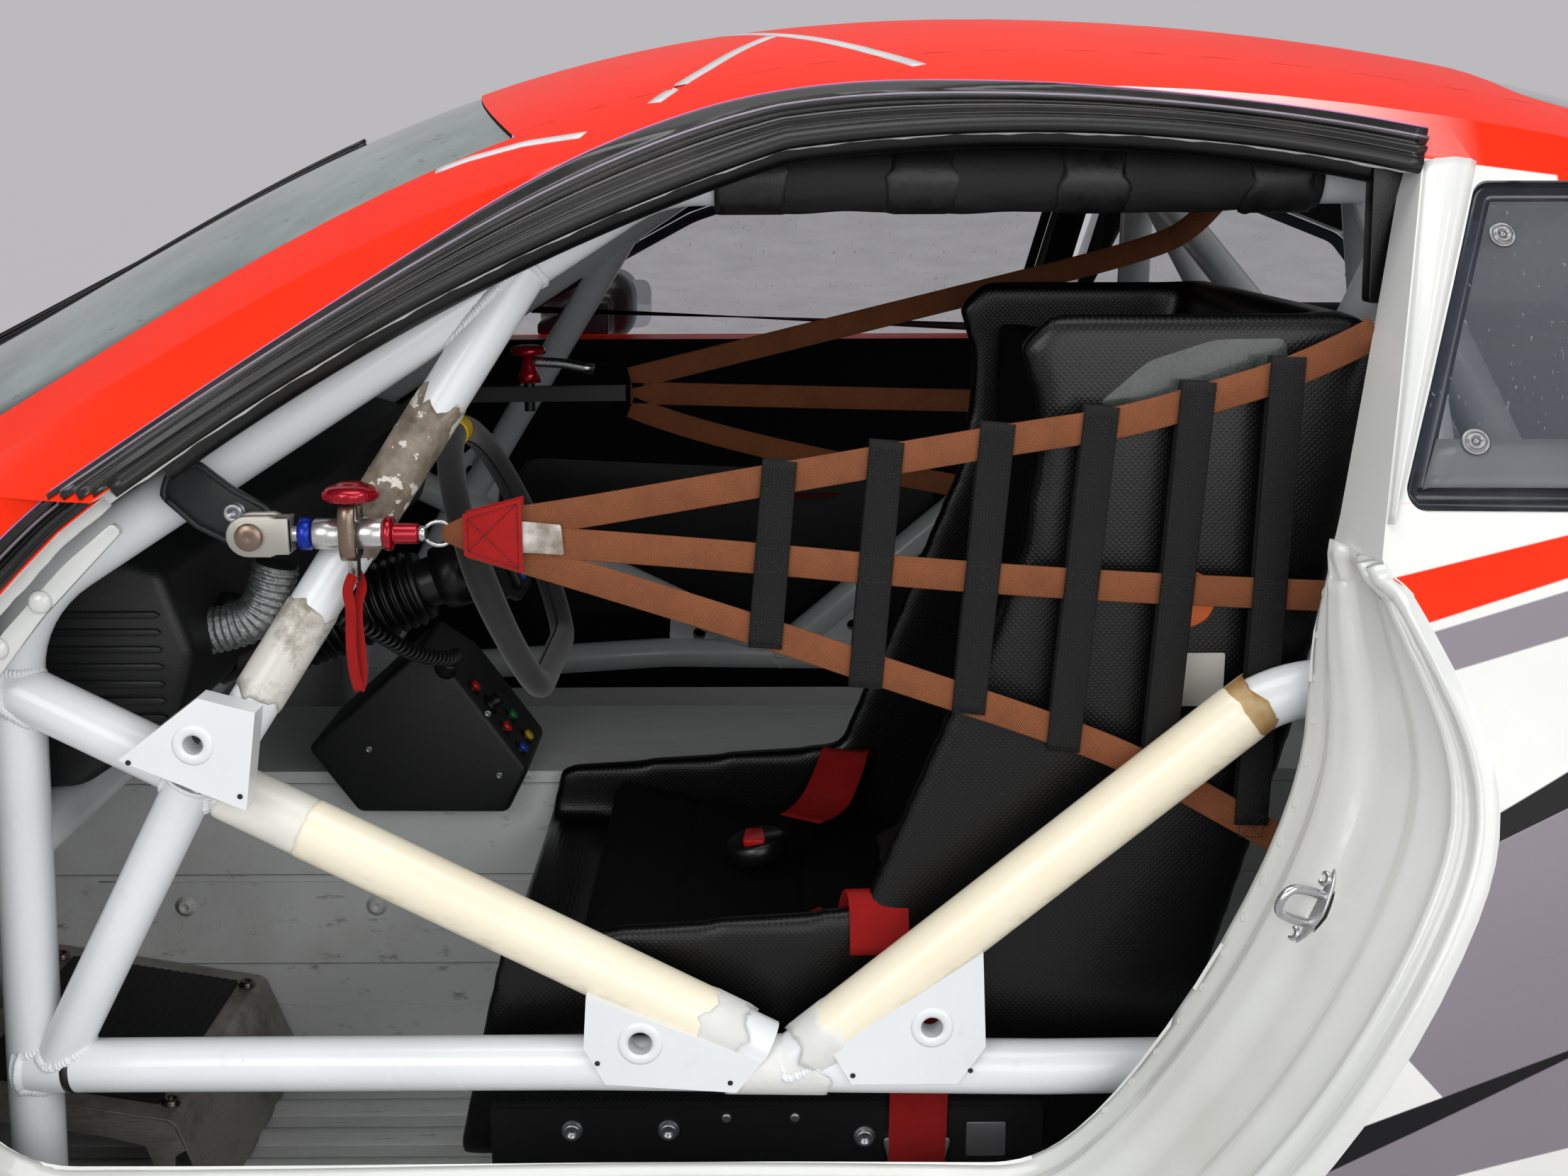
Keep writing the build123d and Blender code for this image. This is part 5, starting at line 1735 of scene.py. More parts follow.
# Net latch: a bead-blasted aluminium body turned from bar, with a fork that bolts to its bracket,
# a blue locking ring, a steel clip, and red anodised knob and sleeve. A pin holds the shackle.
latch_y = -0.632
latch_z = 0.76
along_x = (1, 0, 0)
blasted = moulded("blasted aluminium", tint(178, 174, 166), 0.42, 900, 0.00012, metallic=0.75)
satin_silver, place = begin("satin silver")
turning = place.stretched(900, 4, 4).noise(2, 2)
finish(
    place, turning.ramp(0.3, 0.7).mix(tint(186, 186, 184), tint(214, 214, 212)), turning * 0.12 + 0.24,
    turning, 0.00003, metallic=0.9,
)
blue_anodised = moulded("blue anodised", tint(10, 44, 158), 0.25, 600, 0.00005, metallic=0.5)
red_anodised = moulded("red anodised", tint(176, 6, 34), 0.22, 600, 0.00005, metallic=0.6, coat_weight=0.3)
brown_steel = moulded("heat-tinted steel", tint(140, 122, 108), 0.3, 600, 0.0001, metallic=0.9)

fork_round = [radians(15 * k - 90) for k in range(13)]
fork_outline = [(-0.403 - 0.017 * cos(a), latch_z + 0.0165 * sin(a)) for a in fork_round]
fork_steps = ((-0.386, 0.0165), (-0.381, 0.0145), (-0.371, 0.0145))
fork_outline += [(x, latch_z + rise) for x, rise in fork_steps]
fork_outline += [(x, latch_z - rise) for x, rise in reversed(fork_steps)]
fork_parts = [
    plate(fork_outline, latch_y - 0.013, latch_y - 0.0055, 0.0014),
    plate(fork_outline, latch_y + 0.0055, latch_y + 0.011, 0.0014),
    plate(
        rounded(rectangle(-0.392, latch_z - 0.0145, -0.371, latch_z + 0.0145), 0.002), latch_y - 0.0125,
        latch_y + 0.0105, 0.0014,
    ),
]
piece("net_latch_fork", merged(*fork_parts), blasted)
fork_bolt = turned(
    ((10, 0), (10.8, 0.6), (10.8, 3.4), (9.8, 4.6), (3, 4.8), (0.4, 4.2)),
    (-0.4015, latch_y - 0.0128, latch_z), (0, -1, 0), 36,
)
fork_shank = turned(((5.5, -24), (5.5, 0), (0.4, 0)), (-0.4015, latch_y - 0.0128, latch_z), (0, -1, 0), 20)
piece("net_latch_bolt", merged(fork_bolt, fork_shank), brown_steel)
neck = turned(
    ((6, -0.5), (6.6, 1), (5.8, 2), (6.6, 3), (5.8, 4), (6.6, 5), (6, 7.5)), (-0.371, latch_y, latch_z),
    along_x, 24,
)
body_section = (
    (6, 0), (10.5, 0.4), (12.2, 2.2), (12.2, 17), (11.8, 17.6), (11.8, 36), (12.2, 36.6), (12.2, 54.5),
    (11, 56), (6, 56),
)
body = piece(
    "net_latch_body", merged(turned(body_section, (-0.355, latch_y, latch_z), along_x, 40), neck),
    satin_silver,
)
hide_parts("net_latch")
ring_section = ((8, 0), (12, 0.2), (13.4, 1.2), (13.4, 8.8), (12, 10), (8, 10))
piece(
    "net_latch_ring", turned(ring_section, (-0.3655, latch_y, latch_z), along_x, 8), blue_anodised,
)
clip_section = [(-0.0068, -0.0013), (-0.006, 0.0013), (0.006, 0.0013), (0.0068, -0.0013)]
clip_route = [
    (0, 0.016, 0.02), (0, 0.016, 0.000), (0, 0.015, -0.0165), (0, 0.0, -0.0215), (0, -0.015, -0.0165),
    (0, -0.016, 0.0), (0, -0.0155, 0.0215), (0, -0.008, 0.0245), (0, 0.0, 0.025),
]
clip_centre = Vector((-0.3255, latch_y, latch_z))
clip_line = [clip_centre + Vector(point) for point in line_of(clip_route)]
clip_stations = []
for run, place, ahead, side, upward in frames(clip_line, 0.002, (1, 0, 0)):
    clip_stations.append((run, place, ahead, Vector((1, 0, 0)), Vector((1, 0, 0)).cross(ahead)))
piece("net_latch_clip", swept(clip_stations, clip_section), brown_steel)
knob_z = 0.7865
knob_section = [
    (6, 0), (19, 0.2), (21.2, 2), (21.2, 7.5), (20.4, 8.5), (19, 10.5), (13, 12.8), (11, 12.8), (9.5, 14.2),
    (0.4, 15),
]
knob = turned(knob_section, (-0.324, latch_y, knob_z), (0, 0, 1), 40)
knurl = plate(rectangle(-0.0006, 0.0022, 0.0006, 0.0074), -0.0218, -0.0208, 0.0002)
knurls = [knob]
for k in range(36):
    cut = knurl.copy()
    cut.transform(Matrix.Translation((-0.324, latch_y, knob_z)) @ Matrix.Rotation(tau * k / 36, 4, "Z"))
    knurls.append(cut)
piece("net_latch_knob", merged(*knurls), red_anodised)
stem = turned(((5, 0), (5, 66), (4.2, 68), (0.4, 68)), (-0.324, latch_y, 0.7215), (0, 0, 1), 20)
piece("net_latch_pin", stem, bare_metal)
sleeve_section = (
    (7, 0), (12.4, 0.4), (13.8, 1.6), (13.8, 5.4), (12.4, 6.8), (8.6, 7.2), (8.2, 8.4), (8.2, 25.5),
    (7.4, 26.8), (4, 26.8),
)
piece(
    "net_latch_sleeve", turned(sleeve_section, (-0.299, latch_y, latch_z), along_x, 36), red_anodised,
)
tip_section = ((5, 0), (6.4, 1), (6.4, 5), (5.2, 6.2), (0.4, 6.6))
shackle_route = [
    (-0.2665, 0, 0.005), (-0.264, 0, 0.0078), (-0.257, 0, 0.01), (-0.249, 0, 0.008), (-0.247, 0, 0.0),
    (-0.249, 0, -0.008), (-0.257, 0, -0.01), (-0.264, 0, -0.0078), (-0.2665, 0, -0.005),
]
shackle_line = [Vector((x, latch_y + y, latch_z + z)) for x, y, z in line_of(shackle_route)]
shackle = merged(
    turned(tip_section, (-0.2725, latch_y, latch_z), along_x, 24),
    swept(frames(shackle_line, 0.0015, (0, 1, 0)), circle(0.0017, 10)),
)
piece("net_latch_shackle", shackle, bare_metal)
gather_line = [(x, latch_y, latch_z) for x in (-0.233, -0.243, -0.25, -0.253)]
gather_stations = frames(gather_line, 0.002, (0, 1, 0))
gather = swept(gather_stations, lambda share: strap_profile(0.03 - 0.018 * share, 0.01 - 0.003 * share))
piece("window_net_gather", gather, net_tan)

# Lanyard: a loop of thin red tape, sewn at its neck, that hangs from the latch pin.
red_tape = webbing("red tape", tint(140, 6, 8), tint(214, 20, 20), 0.7)
lanyard_front = [
    (-0.324, latch_y - 0.0056, 0.728), (-0.33, latch_y - 0.0075, 0.718), (-0.327, latch_y - 0.006, 0.702),
    (-0.329, latch_y - 0.007, 0.67), (-0.327, latch_y - 0.006, 0.642), (-0.325, latch_y - 0.003, 0.633),
]
lanyard_back = [
    (-0.324, latch_y + 0.0056, 0.728), (-0.318, latch_y + 0.004, 0.718), (-0.324, latch_y - 0.002, 0.703),
    (-0.3225, latch_y - 0.001, 0.67), (-0.3215, latch_y - 0.001, 0.642), (-0.325, latch_y - 0.003, 0.633),
]
lanyard = straps((lanyard_front, lanyard_back), 0.0085, 0.0011, 0.003)[0]
piece("latch_lanyard", lanyard, red_tape)

# Net bracket: a moulded black wedge with a raised rim, screwed to a tab on the front pillar tube.
bracket_outline = (
    (-0.476, 0.789), (-0.47, 0.806), (-0.447, 0.816), (-0.42, 0.794), (-0.392, 0.778), (-0.384, 0.764),
    (-0.398, 0.75), (-0.418, 0.748), (-0.45, 0.764),
)
bracket_rim = rounded(bracket_outline, 0.004)
bracket_black = moulded("moulded black nylon", tint(26, 28, 30), 0.45, 700, 0.0003)
bracket_parts = [plate(bracket_rim, latch_y + 0.012, latch_y + 0.016, 0.001)]
# The rim runs a little inside the outline
rim_line = [Vector((x * 0.97 - 0.0128, latch_y + 0.011, z * 0.97 + 0.0234)) for x, z in bracket_rim]
rim_section = [(-0.002, -0.002), (-0.002, 0.0045), (0.002, 0.0045), (0.002, -0.002)]
bracket_parts.append(swept(frames(rim_line + rim_line[:1], 0.004, (0, 1, 0)), rim_section))
bracket = piece("net_bracket_wedge", merged(*bracket_parts), bracket_black)
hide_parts("net_bracket")
bracket_screw = turned(torx, (-0.419, latch_y + 0.0118, 0.775), (0, -1, 0), 18)
piece("net_bracket_screw", bracket_screw, zinc)

# Centre net: the same webbing between the seats, its black steel arm and red knob hooked to the
# dashboard's bar.
centre_y = -0.03
centre_lines = (
    ((-0.15, 0.816), (0.193, 0.9), (0.42, 0.956), (0.472, 0.982), (0.497, 1.016)),
    ((-0.15, 0.8), (0.213, 0.791), (0.47, 0.785)), ((-0.15, 0.785), (-0.024, 0.728), (0.54, 0.64)),
)
centre_routes = [[(x, centre_y, z) for x, z in line] for line in centre_lines]
centre_mesh, centre_length = straps(centre_routes, net_width, net_thick)
centre_straps = piece("centre_net_straps", centre_mesh, net_tan)
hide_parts("centre_net")
dress(black_steel, "centre_net_latch")
centre_cap = ((6, 0), (17, 0.4), (19, 2), (19, 8), (15, 10), (0.4, 11))
centre_stem = ((13, 0), (11, 10), (7, 18), (7, 30), (0.4, 31))
centre_knob = merged(
    turned(centre_cap, (-0.262, centre_y, 0.842), (0, 0, 1), 32),
    turned(centre_stem, (-0.262, centre_y, 0.812), (0, 0, 1), 24),
)
piece("centre_net_knob", centre_knob, red_anodised)
rod_line = ((-0.262, centre_y, 0.835), (-0.225, centre_y, 0.833), (-0.19, centre_y, 0.826))
centre_rod = swept(frames(rod_line, 0.01), circle(0.0055, 14))
piece("centre_net_rod", centre_rod, bare_metal)

# Dashboard: a moulded black skin with rounded edges. An air box with raised ribs stands out of
# its end, and a ribbed foil elbow brings air from it towards the driver.
black_plastic = moulded("black plastic", tint(24, 25, 27), 0.48, 800, 0.0003)
soften = ("BEVEL", {"width": 0.012, "segments": 4, "limit_method": "ANGLE", "angle_limit": 0.35})
dash_skin = shaped(copy_of("dashboard"), soften)
dash_end = -0.55
rib_outline = ((-0.64, -0.003), (-0.512, -0.003), (-0.508, 0.0), (-0.512, 0.003), (-0.64, 0.003))
dash_ribs = [
    plate(rib_outline, dash_end - 0.004, dash_end + 0.004, 0.001, Matrix.Translation((0, 0, z)))
    for z in (0.585, 0.6, 0.615, 0.63, 0.645, 0.66, 0.675)
]
dash = piece("dashboard_skin", merged(dash_skin, *dash_ribs), black_plastic)
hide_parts("dashboard")

foil, place = begin("foil duct")
crinkle_and_painted_light = place.noise(220, 5, 0.7)
# Painted shade and highlight: the foil is dark in its crinkles' hollows and bright on their crests,
# following the bump.
finish(
    place, crinkle_and_painted_light.ramp(0.3, 0.7).mix(tint(118, 120, 122), tint(206, 208, 208)), crinkle_and_painted_light * 0.25 + 0.18,
    crinkle_and_painted_light, 0.0012, metallic=0.85,
)
duct_line = line_of(
    [
        (-0.505, -0.48, 0.64), (-0.47, -0.48, 0.646), (-0.446, -0.48, 0.656), (-0.434, -0.48, 0.68),
        (-0.428, -0.48, 0.703),
    ]
)


def duct_profile(share):
    """The duct's outline: a close spiral fold, a little dented."""
    fold = 0.0009 * sin(tau * share * 17)
    return [(u * (1 + 0.02 * sin(9 * share + k)), v) for k, (u, v) in enumerate(circle(0.0198 + fold, 32))]


duct = piece("foil_duct", swept(frames(duct_line, 0.0008), duct_profile), foil)
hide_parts("air_duct")
duct_mouth = turned(
    ((17.5, -1), (17.8, 0.6), (16, 0.4), (0.4, 0.2)), (-0.4279, -0.48, 0.7032), (0.25, 0, 1), 28,
)
piece("foil_duct_mouth", duct_mouth, black_rubber)

# Steering wheel: a flat-bottomed rim bound in black suede, with a yellow band that marks the top,
# an aluminium spider, a box of buttons, and a quick-release boss on the column.
wheel_centre = Vector((-0.243, -0.36, 0.687))
tilt = radians(20.4)
wheel_normal = Vector((cos(tilt), 0, sin(tilt)))
wheel_frame = Matrix(((0, -sin(tilt), cos(tilt)), (1, 0, 0), (0, cos(tilt), sin(tilt)))).to_4x4()
wheel_frame.translation = wheel_centre
flat_frame = wheel_frame @ Matrix.Rotation(radians(-90), 4, "X")
rim_steps = 96
rim_half = 0.146
rim_top = 0.126
rim_foot = 0.15
rim_flat = -0.111
rim_points = []
for k in range(rim_steps):
    a = tau * k / rim_steps
    rim_points.append([rim_half * cos(a), max((rim_top if sin(a) > 0 else rim_foot) * sin(a), rim_flat)])
for _ in range(6):
    rim_points = [
        [
            (rim_points[k - 1][j] + 2 * rim_points[k][j] + rim_points[(k + 1) % rim_steps][j]) / 4
            for j in (0, 1)
        ]
        for k in range(rim_steps)
    ]
rim_stations = []
run = 0
for k, (a, b) in enumerate(rim_points):
    place = wheel_frame @ Vector((a, b, 0))
    before = wheel_frame @ Vector((*rim_points[k - 1], 0))
    after = wheel_frame @ Vector((*rim_points[(k + 1) % rim_steps], 0))
    ahead = (after - before).normalized()
    rim_stations.append((run, place, ahead, ahead.cross(wheel_normal), wheel_normal))
    run += (after - place).length


def rim_profile(share):
    """The grip's outline: thicker where the thumbs rest."""
    angle = tau * share
    thumb = max(0, cos(2 * angle)) ** 6 * 0.0016
    return circle(0.0128 + thumb, 20, 0.92)


suede, place = begin("black suede")
nap = place.noise(420, 4, 0.7)
worn = place.noise(16, 4, 0.6)
finish(
    place, worn.ramp(0.3, 0.8).mix(tint(16, 16, 17), tint(40, 39, 38)), worn * 0.15 + 0.72, nap, 0.0006,
    sheen_weight=0.3,
)
rim = piece(
    "wheel_rim", swept(rim_stations, rim_profile, closed=True), suede, "steering_wheel",
)
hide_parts("steering_wheel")
yellow = moulded("yellow tape", tint(238, 196, 20), 0.45, 500, 0.0001)
band = swept(rim_stations[22:27], circle(0.0137, 20, 0.92))
piece("wheel_top_band", band, yellow, "steering_wheel")
seam = [
    (run, place - side * 0.0131, ahead, side, upward)
    for run, place, ahead, side, upward in rim_stations
]
seam_mesh = swept(seam, lambda share: circle(0.0007 + 0.0002 * sin(900 * share), 6), closed=True)
piece("wheel_rim_seam", seam_mesh, thread_black, "steering_wheel")
spider_outline = (
    (-0.136, -0.014), (-0.07, -0.027), (-0.036, -0.04), (0.036, -0.04), (0.07, -0.027), (0.136, -0.014),
    (0.136, 0.014), (0.07, 0.024), (0.036, 0.036), (-0.036, 0.036), (-0.07, 0.024), (-0.136, 0.014),
)
satin_black = moulded("satin black alloy", tint(26, 26, 28), 0.34, 700, 0.0001, metallic=0.4)
spider = plate(rounded(spider_outline, 0.008), -0.0025, 0.0025, 0.0008, flat_frame)
button_box = plate(
    rounded(rectangle(-0.046, -0.03, 0.046, 0.032), 0.01), -0.0105, -0.002, 0.002, flat_frame,
)
boss_section = (
    (20, -70), (30, -69), (32, -56), (32, -40), (26, -38), (26, -18), (40, -16), (41, -4), (38, -2),
)
boss = turned(boss_section, wheel_centre, wheel_normal, 40)
piece("wheel_spider", merged(spider, button_box, boss), satin_black, "steering_wheel")
button_section = ((5.2, 0), (5.2, 3), (4.4, 3.8), (0.4, 4))
screw_section = ((4, 0), (4, 1.4), (3, 2.2), (1.8, 2.2), (1.4, 1), (0.4, 1))
button_colours = (
    ("red", tint(200, 16, 16), ((-0.033, 0.02), (0.033, -0.018))),
    ("green", tint(20, 130, 48), ((-0.033, 0.000),)), ("yellow", tint(226, 180, 20), ((0.033, 0.02),)),
    ("blue", tint(22, 60, 160), ((-0.033, -0.018), (0.033, 0.000))),
)
for word, colour, spots in button_colours:
    caps = [turned(button_section, wheel_frame @ Vector((a, b, 0.01)), wheel_normal, 16) for a, b in spots]
    cap_plastic = moulded(f"{word} cap", colour, 0.3, 500, 0.00005)
    piece(f"wheel_buttons_{word}", merged(*caps), cap_plastic, "steering_wheel")
wheel_screws = [
    turned(screw_section, wheel_frame @ Vector((0.118 * side, b, 0.0023)), wheel_normal, 12)
    for side in (-1, 1)
    for b in (-0.009, 0.009)
]
piece("wheel_screws", merged(*wheel_screws), zinc, "steering_wheel")

# Column gaiter: a bellows of black rubber round the steering column.
gaiter_from = 0.086
gaiter_to = 0.236
gaiter_turns = 16
gaiter_line = [
    wheel_centre - wheel_normal * (gaiter_from + (gaiter_to - gaiter_from) * k / 10)
    for k in range(11)
]
gaiter = swept(
    frames(gaiter_line, 0.0012),
    lambda share: circle(
        0.0325 + 0.0045 * sin(tau * gaiter_turns * share) * min(1, 12 * share, 12 * (1 - share)), 32,
    ),
)
piece("column_gaiter", gaiter, soft_rubber)

# Switch panel: a moulded black console on the tunnel, its face square to the driver, with blank
# coloured caps and a knob. Its upper edge carries the socket of the curly lead.
panel_skin = shaped(
    copy_of("switch_panel"),
    ("BEVEL", {"width": 0.007, "segments": 4, "limit_method": "ANGLE", "angle_limit": 0.35}),
)
panel = piece("switch_panel_skin", panel_skin, black_plastic)
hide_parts("switch_panel")
panel_top = Vector((-0.332, 0, 0.511))
panel_foot = Vector((-0.258, 0, 0.406))
panel_facing = Vector((0.817, 0, 0.576))
face_section = ((9.8, -1), (9.8, 1.6), (8.8, 2.4), (7.2, 2.4), (7, 0.4), (0.4, 0.4))
cap_section = ((6.2, 0), (6.2, 5), (5.2, 6.2), (0.4, 6.6))
rings = []
caps = {"red": [], "green": [], "yellow": [], "blue": []}
for share, y, word in (
    (0.18, -0.14, "red"), (0.62, -0.14, "red"), (0.62, -0.095, "green"), (0.85, -0.14, "blue"),
    (0.85, -0.095, "yellow"),
):
    at = panel_top.lerp(panel_foot, share) + Vector((0, y, 0))
    rings.append(turned(face_section, at, panel_facing, 24))
    caps[word].append(turned(cap_section, at, panel_facing, 20))
knob_at = panel_top.lerp(panel_foot, 0.4) + Vector((0, -0.128, 0))
panel_knob = ((12.5, -0.5), (12.5, 3), (9.5, 4), (8.5, 13), (7, 14.5), (0.4, 14.5))
rings.append(turned(panel_knob, knob_at, panel_facing, 12))
piece("switch_panel_rings", merged(*rings), satin_black)
for word, meshes in caps.items():
    piece(f"switch_panel_{word}", merged(*meshes), bpy.data.materials[f"{word} cap"])
near_screws = seats([(x, -0.165, z) for x, z in ((-0.3, 0.47), (-0.29, 0.4), (-0.43, 0.43))], (0, -1, 0))
studs("switch_panel_screws", near_screws, turned(screw_section, steps=14), zinc)
collar_section = ((8.5, -2), (12.5, -1), (12.5, 10), (10.5, 12), (10.5, 20), (9, 22), (0.4, 22))
lead_ends = (((-0.488, -0.4408, 0.6562), (1, 0, 0)), ((-0.343, -0.164, 0.5205), (0.4, -0.71, 0.58)))
collars = [turned(collar_section, at, way, 28) for at, way in lead_ends]
piece("curly_lead_sockets", merged(*collars), black_rubber)

# Foot board: a folded aluminium tray with a notched flange, and a black ribbed mat on its slope.
tray_metal, place = begin("scuffed aluminium")
brushed = place.stretched(4, 60, 60).noise(6, 5, 0.7)
grime = place.noise(14, 5, 0.65).ramp(0.45, 0.75)
colour = grime.mix(brushed.ramp(0.3, 0.7).mix(tint(150, 147, 140), tint(186, 182, 174)), tint(104, 98, 88))
finish(place, colour, grime * 0.2 + 0.32, brushed, 0.0004, metallic=0.55)
tray_top = ((-0.798, 0.189), (-0.575, 0.1502), (-0.568, 0.145), (-0.537, 0.06), (-0.537, 0.042))
tray_under = [(x - 0.0028, z - 0.0024) for x, z in reversed(tray_top)]
tray_parts = [plate(tray_top + tuple(tray_under), -0.449, -0.13, 0.0007)]
flange_outline = (
    (-0.79, 0.186), (-0.577, 0.149), (-0.569, 0.143), (-0.56, 0.118), (-0.572, 0.111), (-0.572, 0.095),
    (-0.556, 0.09), (-0.542, 0.058), (-0.556, 0.047), (-0.59, 0.093), (-0.6, 0.123), (-0.64, 0.133),
    (-0.79, 0.159),
)
for y in (-0.449, -0.1325):
    tray_parts.append(plate(rounded(flange_outline, 0.003), y, y + 0.0025, 0.0007))
tray = piece("foot_board_tray", merged(*tray_parts), tray_metal)
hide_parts("foot_board")
mat_black = moulded("black ribbed mat", tint(16, 16, 17), 0.75, 300, 0.0006)
mat_outline = [(-0.772, 0.1848), (-0.772, 0.1886)]
for k in range(40):
    x = -0.772 + 0.18 * (k + 1) / 41
    z = 0.1848 - 0.174 * (x + 0.772)
    mat_outline.append((x, z + (0.0054 if k % 2 else 0.0042)))
mat_outline += [(-0.592, 0.1575), (-0.592, 0.1534)]
piece("foot_board_mat", plate(mat_outline, -0.425, -0.16, 0.0004), mat_black)
slope_facing = (0.171, 0, 0.985)
mat_spots = [(x, y, 0.1876 - 0.174 * (x + 0.785)) for x in (-0.785, -0.582) for y in (-0.42, -0.16)]
mat_bolts = seats(mat_spots, slope_facing, (0, 1, 0))
studs("foot_board_bolts", mat_bolts, turned(torx, steps=14), dark_metal)

# Right door mirror: a round-edged black housing with its glass facing back.
mirror_skin = shaped(
    copy_of("right_mirror"), ("REMESH", {"mode": "VOXEL", "voxel_size": 0.005}),
    ("SMOOTH", {"factor": 0.5, "iterations": 8}),
)
mirror = piece("right_mirror_housing", mirror_skin, black_gloss, "right_door")
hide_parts("right_mirror")
mirror_glass, place = begin("mirror glass")
haze = place.noise(8, 3)
finish(
    place, haze.mix(tint(196, 202, 206), tint(214, 220, 224)), haze * 0.05 + 0.04, haze, 0.00002,
    metallic=0.95,
)
glass_outline = rounded(rectangle(-0.062, -0.038, 0.062, 0.038), 0.026, 8)
glass_place = Matrix.Translation((-0.222, 0.842, 0.838)) @ Matrix.Rotation(radians(52), 4, "Z")
piece(
    "right_mirror_glass", plate(glass_outline, -0.0012, 0.0012, 0.0004, glass_place), mirror_glass,
    "right_door",
)

# Right door: a flush outer handle and a lock barrel, and a red pull strap on a panel inside.
door_surface = surface_of("right_door")


def on_door(x, z, inside=False):
    """A place on the right door's outer or inner face, with the way that it looks."""
    way = Vector((0, 1 if inside else -1, 0))
    return door_surface.ray_cast(Vector((x, 0 if inside else 1.4, z)), way)[:2]


def on_face(mesh, x, z, inside=False):
    """A flat part laid on the door's face, its own Y being depth into the face."""
    place, facing = on_door(x, z, inside)
    side = Vector((1, 0, 0)) - facing * facing.x
    side.normalize()
    turn = Matrix((side, -facing, side.cross(-facing))).transposed().to_4x4()
    turn.translation = place
    laid = mesh.copy()
    laid.transform(turn)
    return laid


handle_outline = rounded(((-0.085, -0.017), (0.085, -0.013), (0.085, 0.013), (-0.085, 0.017)), 0.009)
handle = on_face(plate(handle_outline, -0.007, 0.001, 0.003), 0.27, 0.66)
piece("right_door_handle", handle, black_gloss, "right_door")
lock_place, lock_facing = on_door(0.375, 0.655)
lock = turned(((10, -1), (10, 1), (8.5, 2.2), (0.4, 2.2)), lock_place, lock_facing, 24)
piece("right_door_lock", lock, zinc, "right_door")
inner_panel = on_face(
    plate(rounded(((-0.3, -0.13), (0.34, -0.13), (0.34, 0.09), (-0.3, 0.12)), 0.04), -0.006, 0.002, 0.002),
    -0.08, 0.5, True,
)
piece("right_door_inner_panel", inner_panel, black_plastic, "right_door")
pull_place = on_door(0.02, 0.56, True)[0]
pull_points = [
    pull_place + Vector((x, -0.01 - lift, 0))
    for x, lift in ((-0.09, 0), (-0.05, 0.012), (0, 0.018), (0.05, 0.012), (0.09, 0))
]
pull_width = 0.024
pull, pull_length = straps([pull_points], pull_width, 0.002, 0.006, (0, 0, 1))
door_pull = piece("right_door_pull", pull, red_tape, "right_door")

# Cut ends: the front and rear bulkheads are pressed panels with long beads, round grommets and
# four bolts for the stand that carries the section.
ends = (
    (-1.0602, -1, ((0.3, 0.52), (0.4, 0.52), (0.5, 0.5))),
    (1.0002, 1, ((0.32, 0.6), (0.44, 0.6), (0.56, 0.55))),
)
end_section = [
    (-0.016, -0.0015), (-0.014, 0.0012), (-0.006, 0.0048), (0.006, 0.0048), (0.014, 0.0012),
    (0.016, -0.0015),
]
end_beads = []
grommets = []
end_bolts = []
for x, way, rows in ends:
    for z, half in rows:
        bead_line = [(x, half * (k / 10 - 1), z) for k in range(21)]
        stations = [
            (run, place, ahead, Vector((0, 0, 1)), Vector((way, 0, 0)))
            for run, place, ahead, _, _ in frames(bead_line, 0.05)
        ]
        end_beads.append(swept(stations, end_section))
    for y, z in ((-0.34, 0.23), (0.28, 0.23), (0.0, 0.24)):
        grommets.append(
            turned(((20, -1), (21, 2), (18, 4), (14, 3), (12, 0.5), (0.4, 0.5)), (x, y, z), (way, 0, 0), 28)
        )
    for y, z in (
        (-0.5, 0.16), (0.5, 0.16), (-0.42, 0.6 if way < 0 else 0.66), (0.42, 0.6 if way < 0 else 0.66),
    ):
        end_bolts += seats([(x, y, z)], (way, 0, 0), (0, 1, 0))
panel_paint = moulded("dark panel paint", tint(42, 43, 45), 0.4, 700, 0.0001)
piece("bulkhead_beads", merged(*end_beads), panel_paint)
piece("bulkhead_grommets", merged(*grommets), black_rubber)
studs("bulkhead_bolts", end_bolts, turned(torx, steps=18), zinc)

# Rear arch liners: black felt-backed plastic laid inside each rear wheel arch.
arch_centre = Vector((1.085, 0, 0.225))
arch_radius = 0.3635
arch_points = [
    (arch_centre.x + arch_radius * cos(radians(a)), arch_centre.z + arch_radius * sin(radians(a)))
    for a in range(104, 216, 4)
]
arch_upper = arch_points[:22]
liner_outline = [(0.999, arch_points[0][1])] + arch_points + [(0.999, arch_points[-1][1])]
liner_hull = arch_upper + [(x + 0.0022, z - 0.0012) for x, z in reversed(arch_upper)]
liners = []
for side in (-1, 1):
    near, far = sorted((side * 0.691, side * 0.694))
    liners.append(plate(liner_outline, near, far, 0))
    near, far = sorted((side * 0.691, side * 0.835))
    liners.append(plate(liner_hull, near, far, 0))
piece("rear_arch_liners", merged(*liners), mat_black)

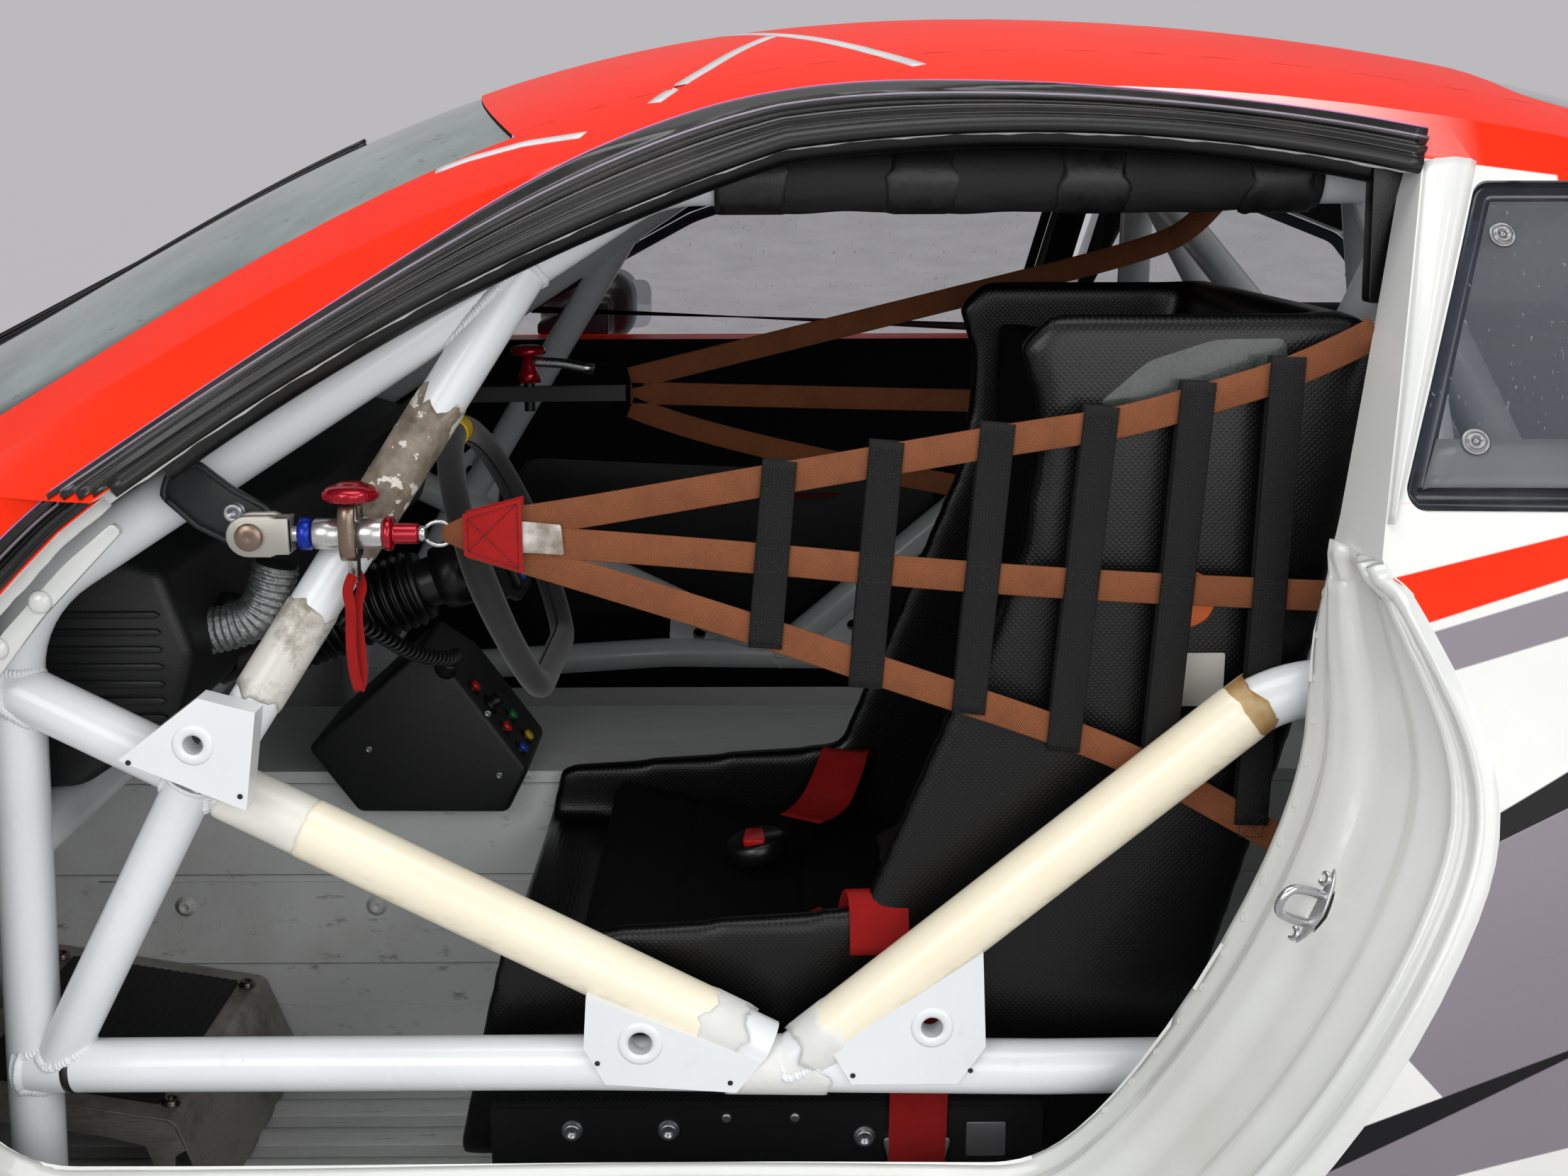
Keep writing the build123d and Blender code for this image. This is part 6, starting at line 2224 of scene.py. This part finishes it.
# Studio: a pale floor and backdrop, with broad soft lamps above the roof and at the doorway.
studio_grey = tint(206, 204, 208)
backdrop_colour, place = begin("backdrop")
path = place.node("LightPath", output="Is Camera Ray")
glossy = path.other("Is Glossy Ray")
through = path.other("Is Transmission Ray")
seen = path.maths("MAXIMUM", glossy).maths("MAXIMUM", through)
diffuse = place.node("BsdfDiffuse", None, {"Color": studio_grey})
glow = place.node("Emission", None, {"Color": studio_grey, "Strength": 0.9})
place.node(
    "OutputMaterial", None,
    {"Surface": place.node("MixShader", None, {0: seen * 0.85, 1: diffuse, 2: glow})},
)
floor_half = 15.0
wall_y = 14.0
wall_top = 9.0
stage_mesh = bpy.data.meshes.new("studio")
stage_mesh.from_pydata(
    [
        (-floor_half, -floor_half, 0), (floor_half, -floor_half, 0), (floor_half, wall_y, 0),
        (-floor_half, wall_y, 0), (-floor_half, wall_y, wall_top), (floor_half, wall_y, wall_top),
    ],
    [], [(0, 1, 2, 3), (3, 2, 5, 4)],
)
stage_mesh.materials.append(backdrop_colour)
studio = placed("studio", stage_mesh)

world = bpy.data.worlds.new("sky")
world.use_nodes = True
world.node_tree.nodes.clear()
sky = Shade(world.node_tree)
sky_light = sky.node("Background", None, {"Color": (1, 1, 1, 1), "Strength": 0.35})
sky_seen = sky.node("Background", None, {"Color": studio_grey, "Strength": 0.85})
straight = sky.node("LightPath", output="Is Camera Ray")
sky.node(
    "OutputWorld", None, {"Surface": sky.node("MixShader", None, {0: straight, 1: sky_light, 2: sky_seen})},
)
bpy.context.scene.world = world

# name, place, what it points at, width, height, power
lamps = (
    ("lamp_above", (-0.3, -0.9, 3.4), (0, -0.3, 0.5), 3.0, 1.6, 46),
    ("lamp_doorway", (-1.4, -3.2, 1.9), (0.1, -0.6, 0.6), 1.6, 1.6, 32),
    ("lamp_low", (0.9, -3.0, 1.1), (-0.3, -0.2, 0.2), 2.0, 1.4, 20),
    ("lamp_rear", (2.4, -2.4, 2.2), (0.6, -0.6, 0.7), 1.4, 1.4, 26),
)
for name, place, aim, wide, tall, power in lamps:
    lamp_data = bpy.data.lights.new(name, "AREA")
    lamp_data.shape = "RECTANGLE"
    lamp_data.size = wide
    lamp_data.size_y = tall
    lamp_data.energy = power
    lamp = placed(name, lamp_data)
    lamp.location = place
    lamp.rotation_euler = (Vector(aim) - Vector(place)).to_track_quat("-Z", "Y").to_euler()

bpy.context.scene.view_settings.view_transform = "Standard"
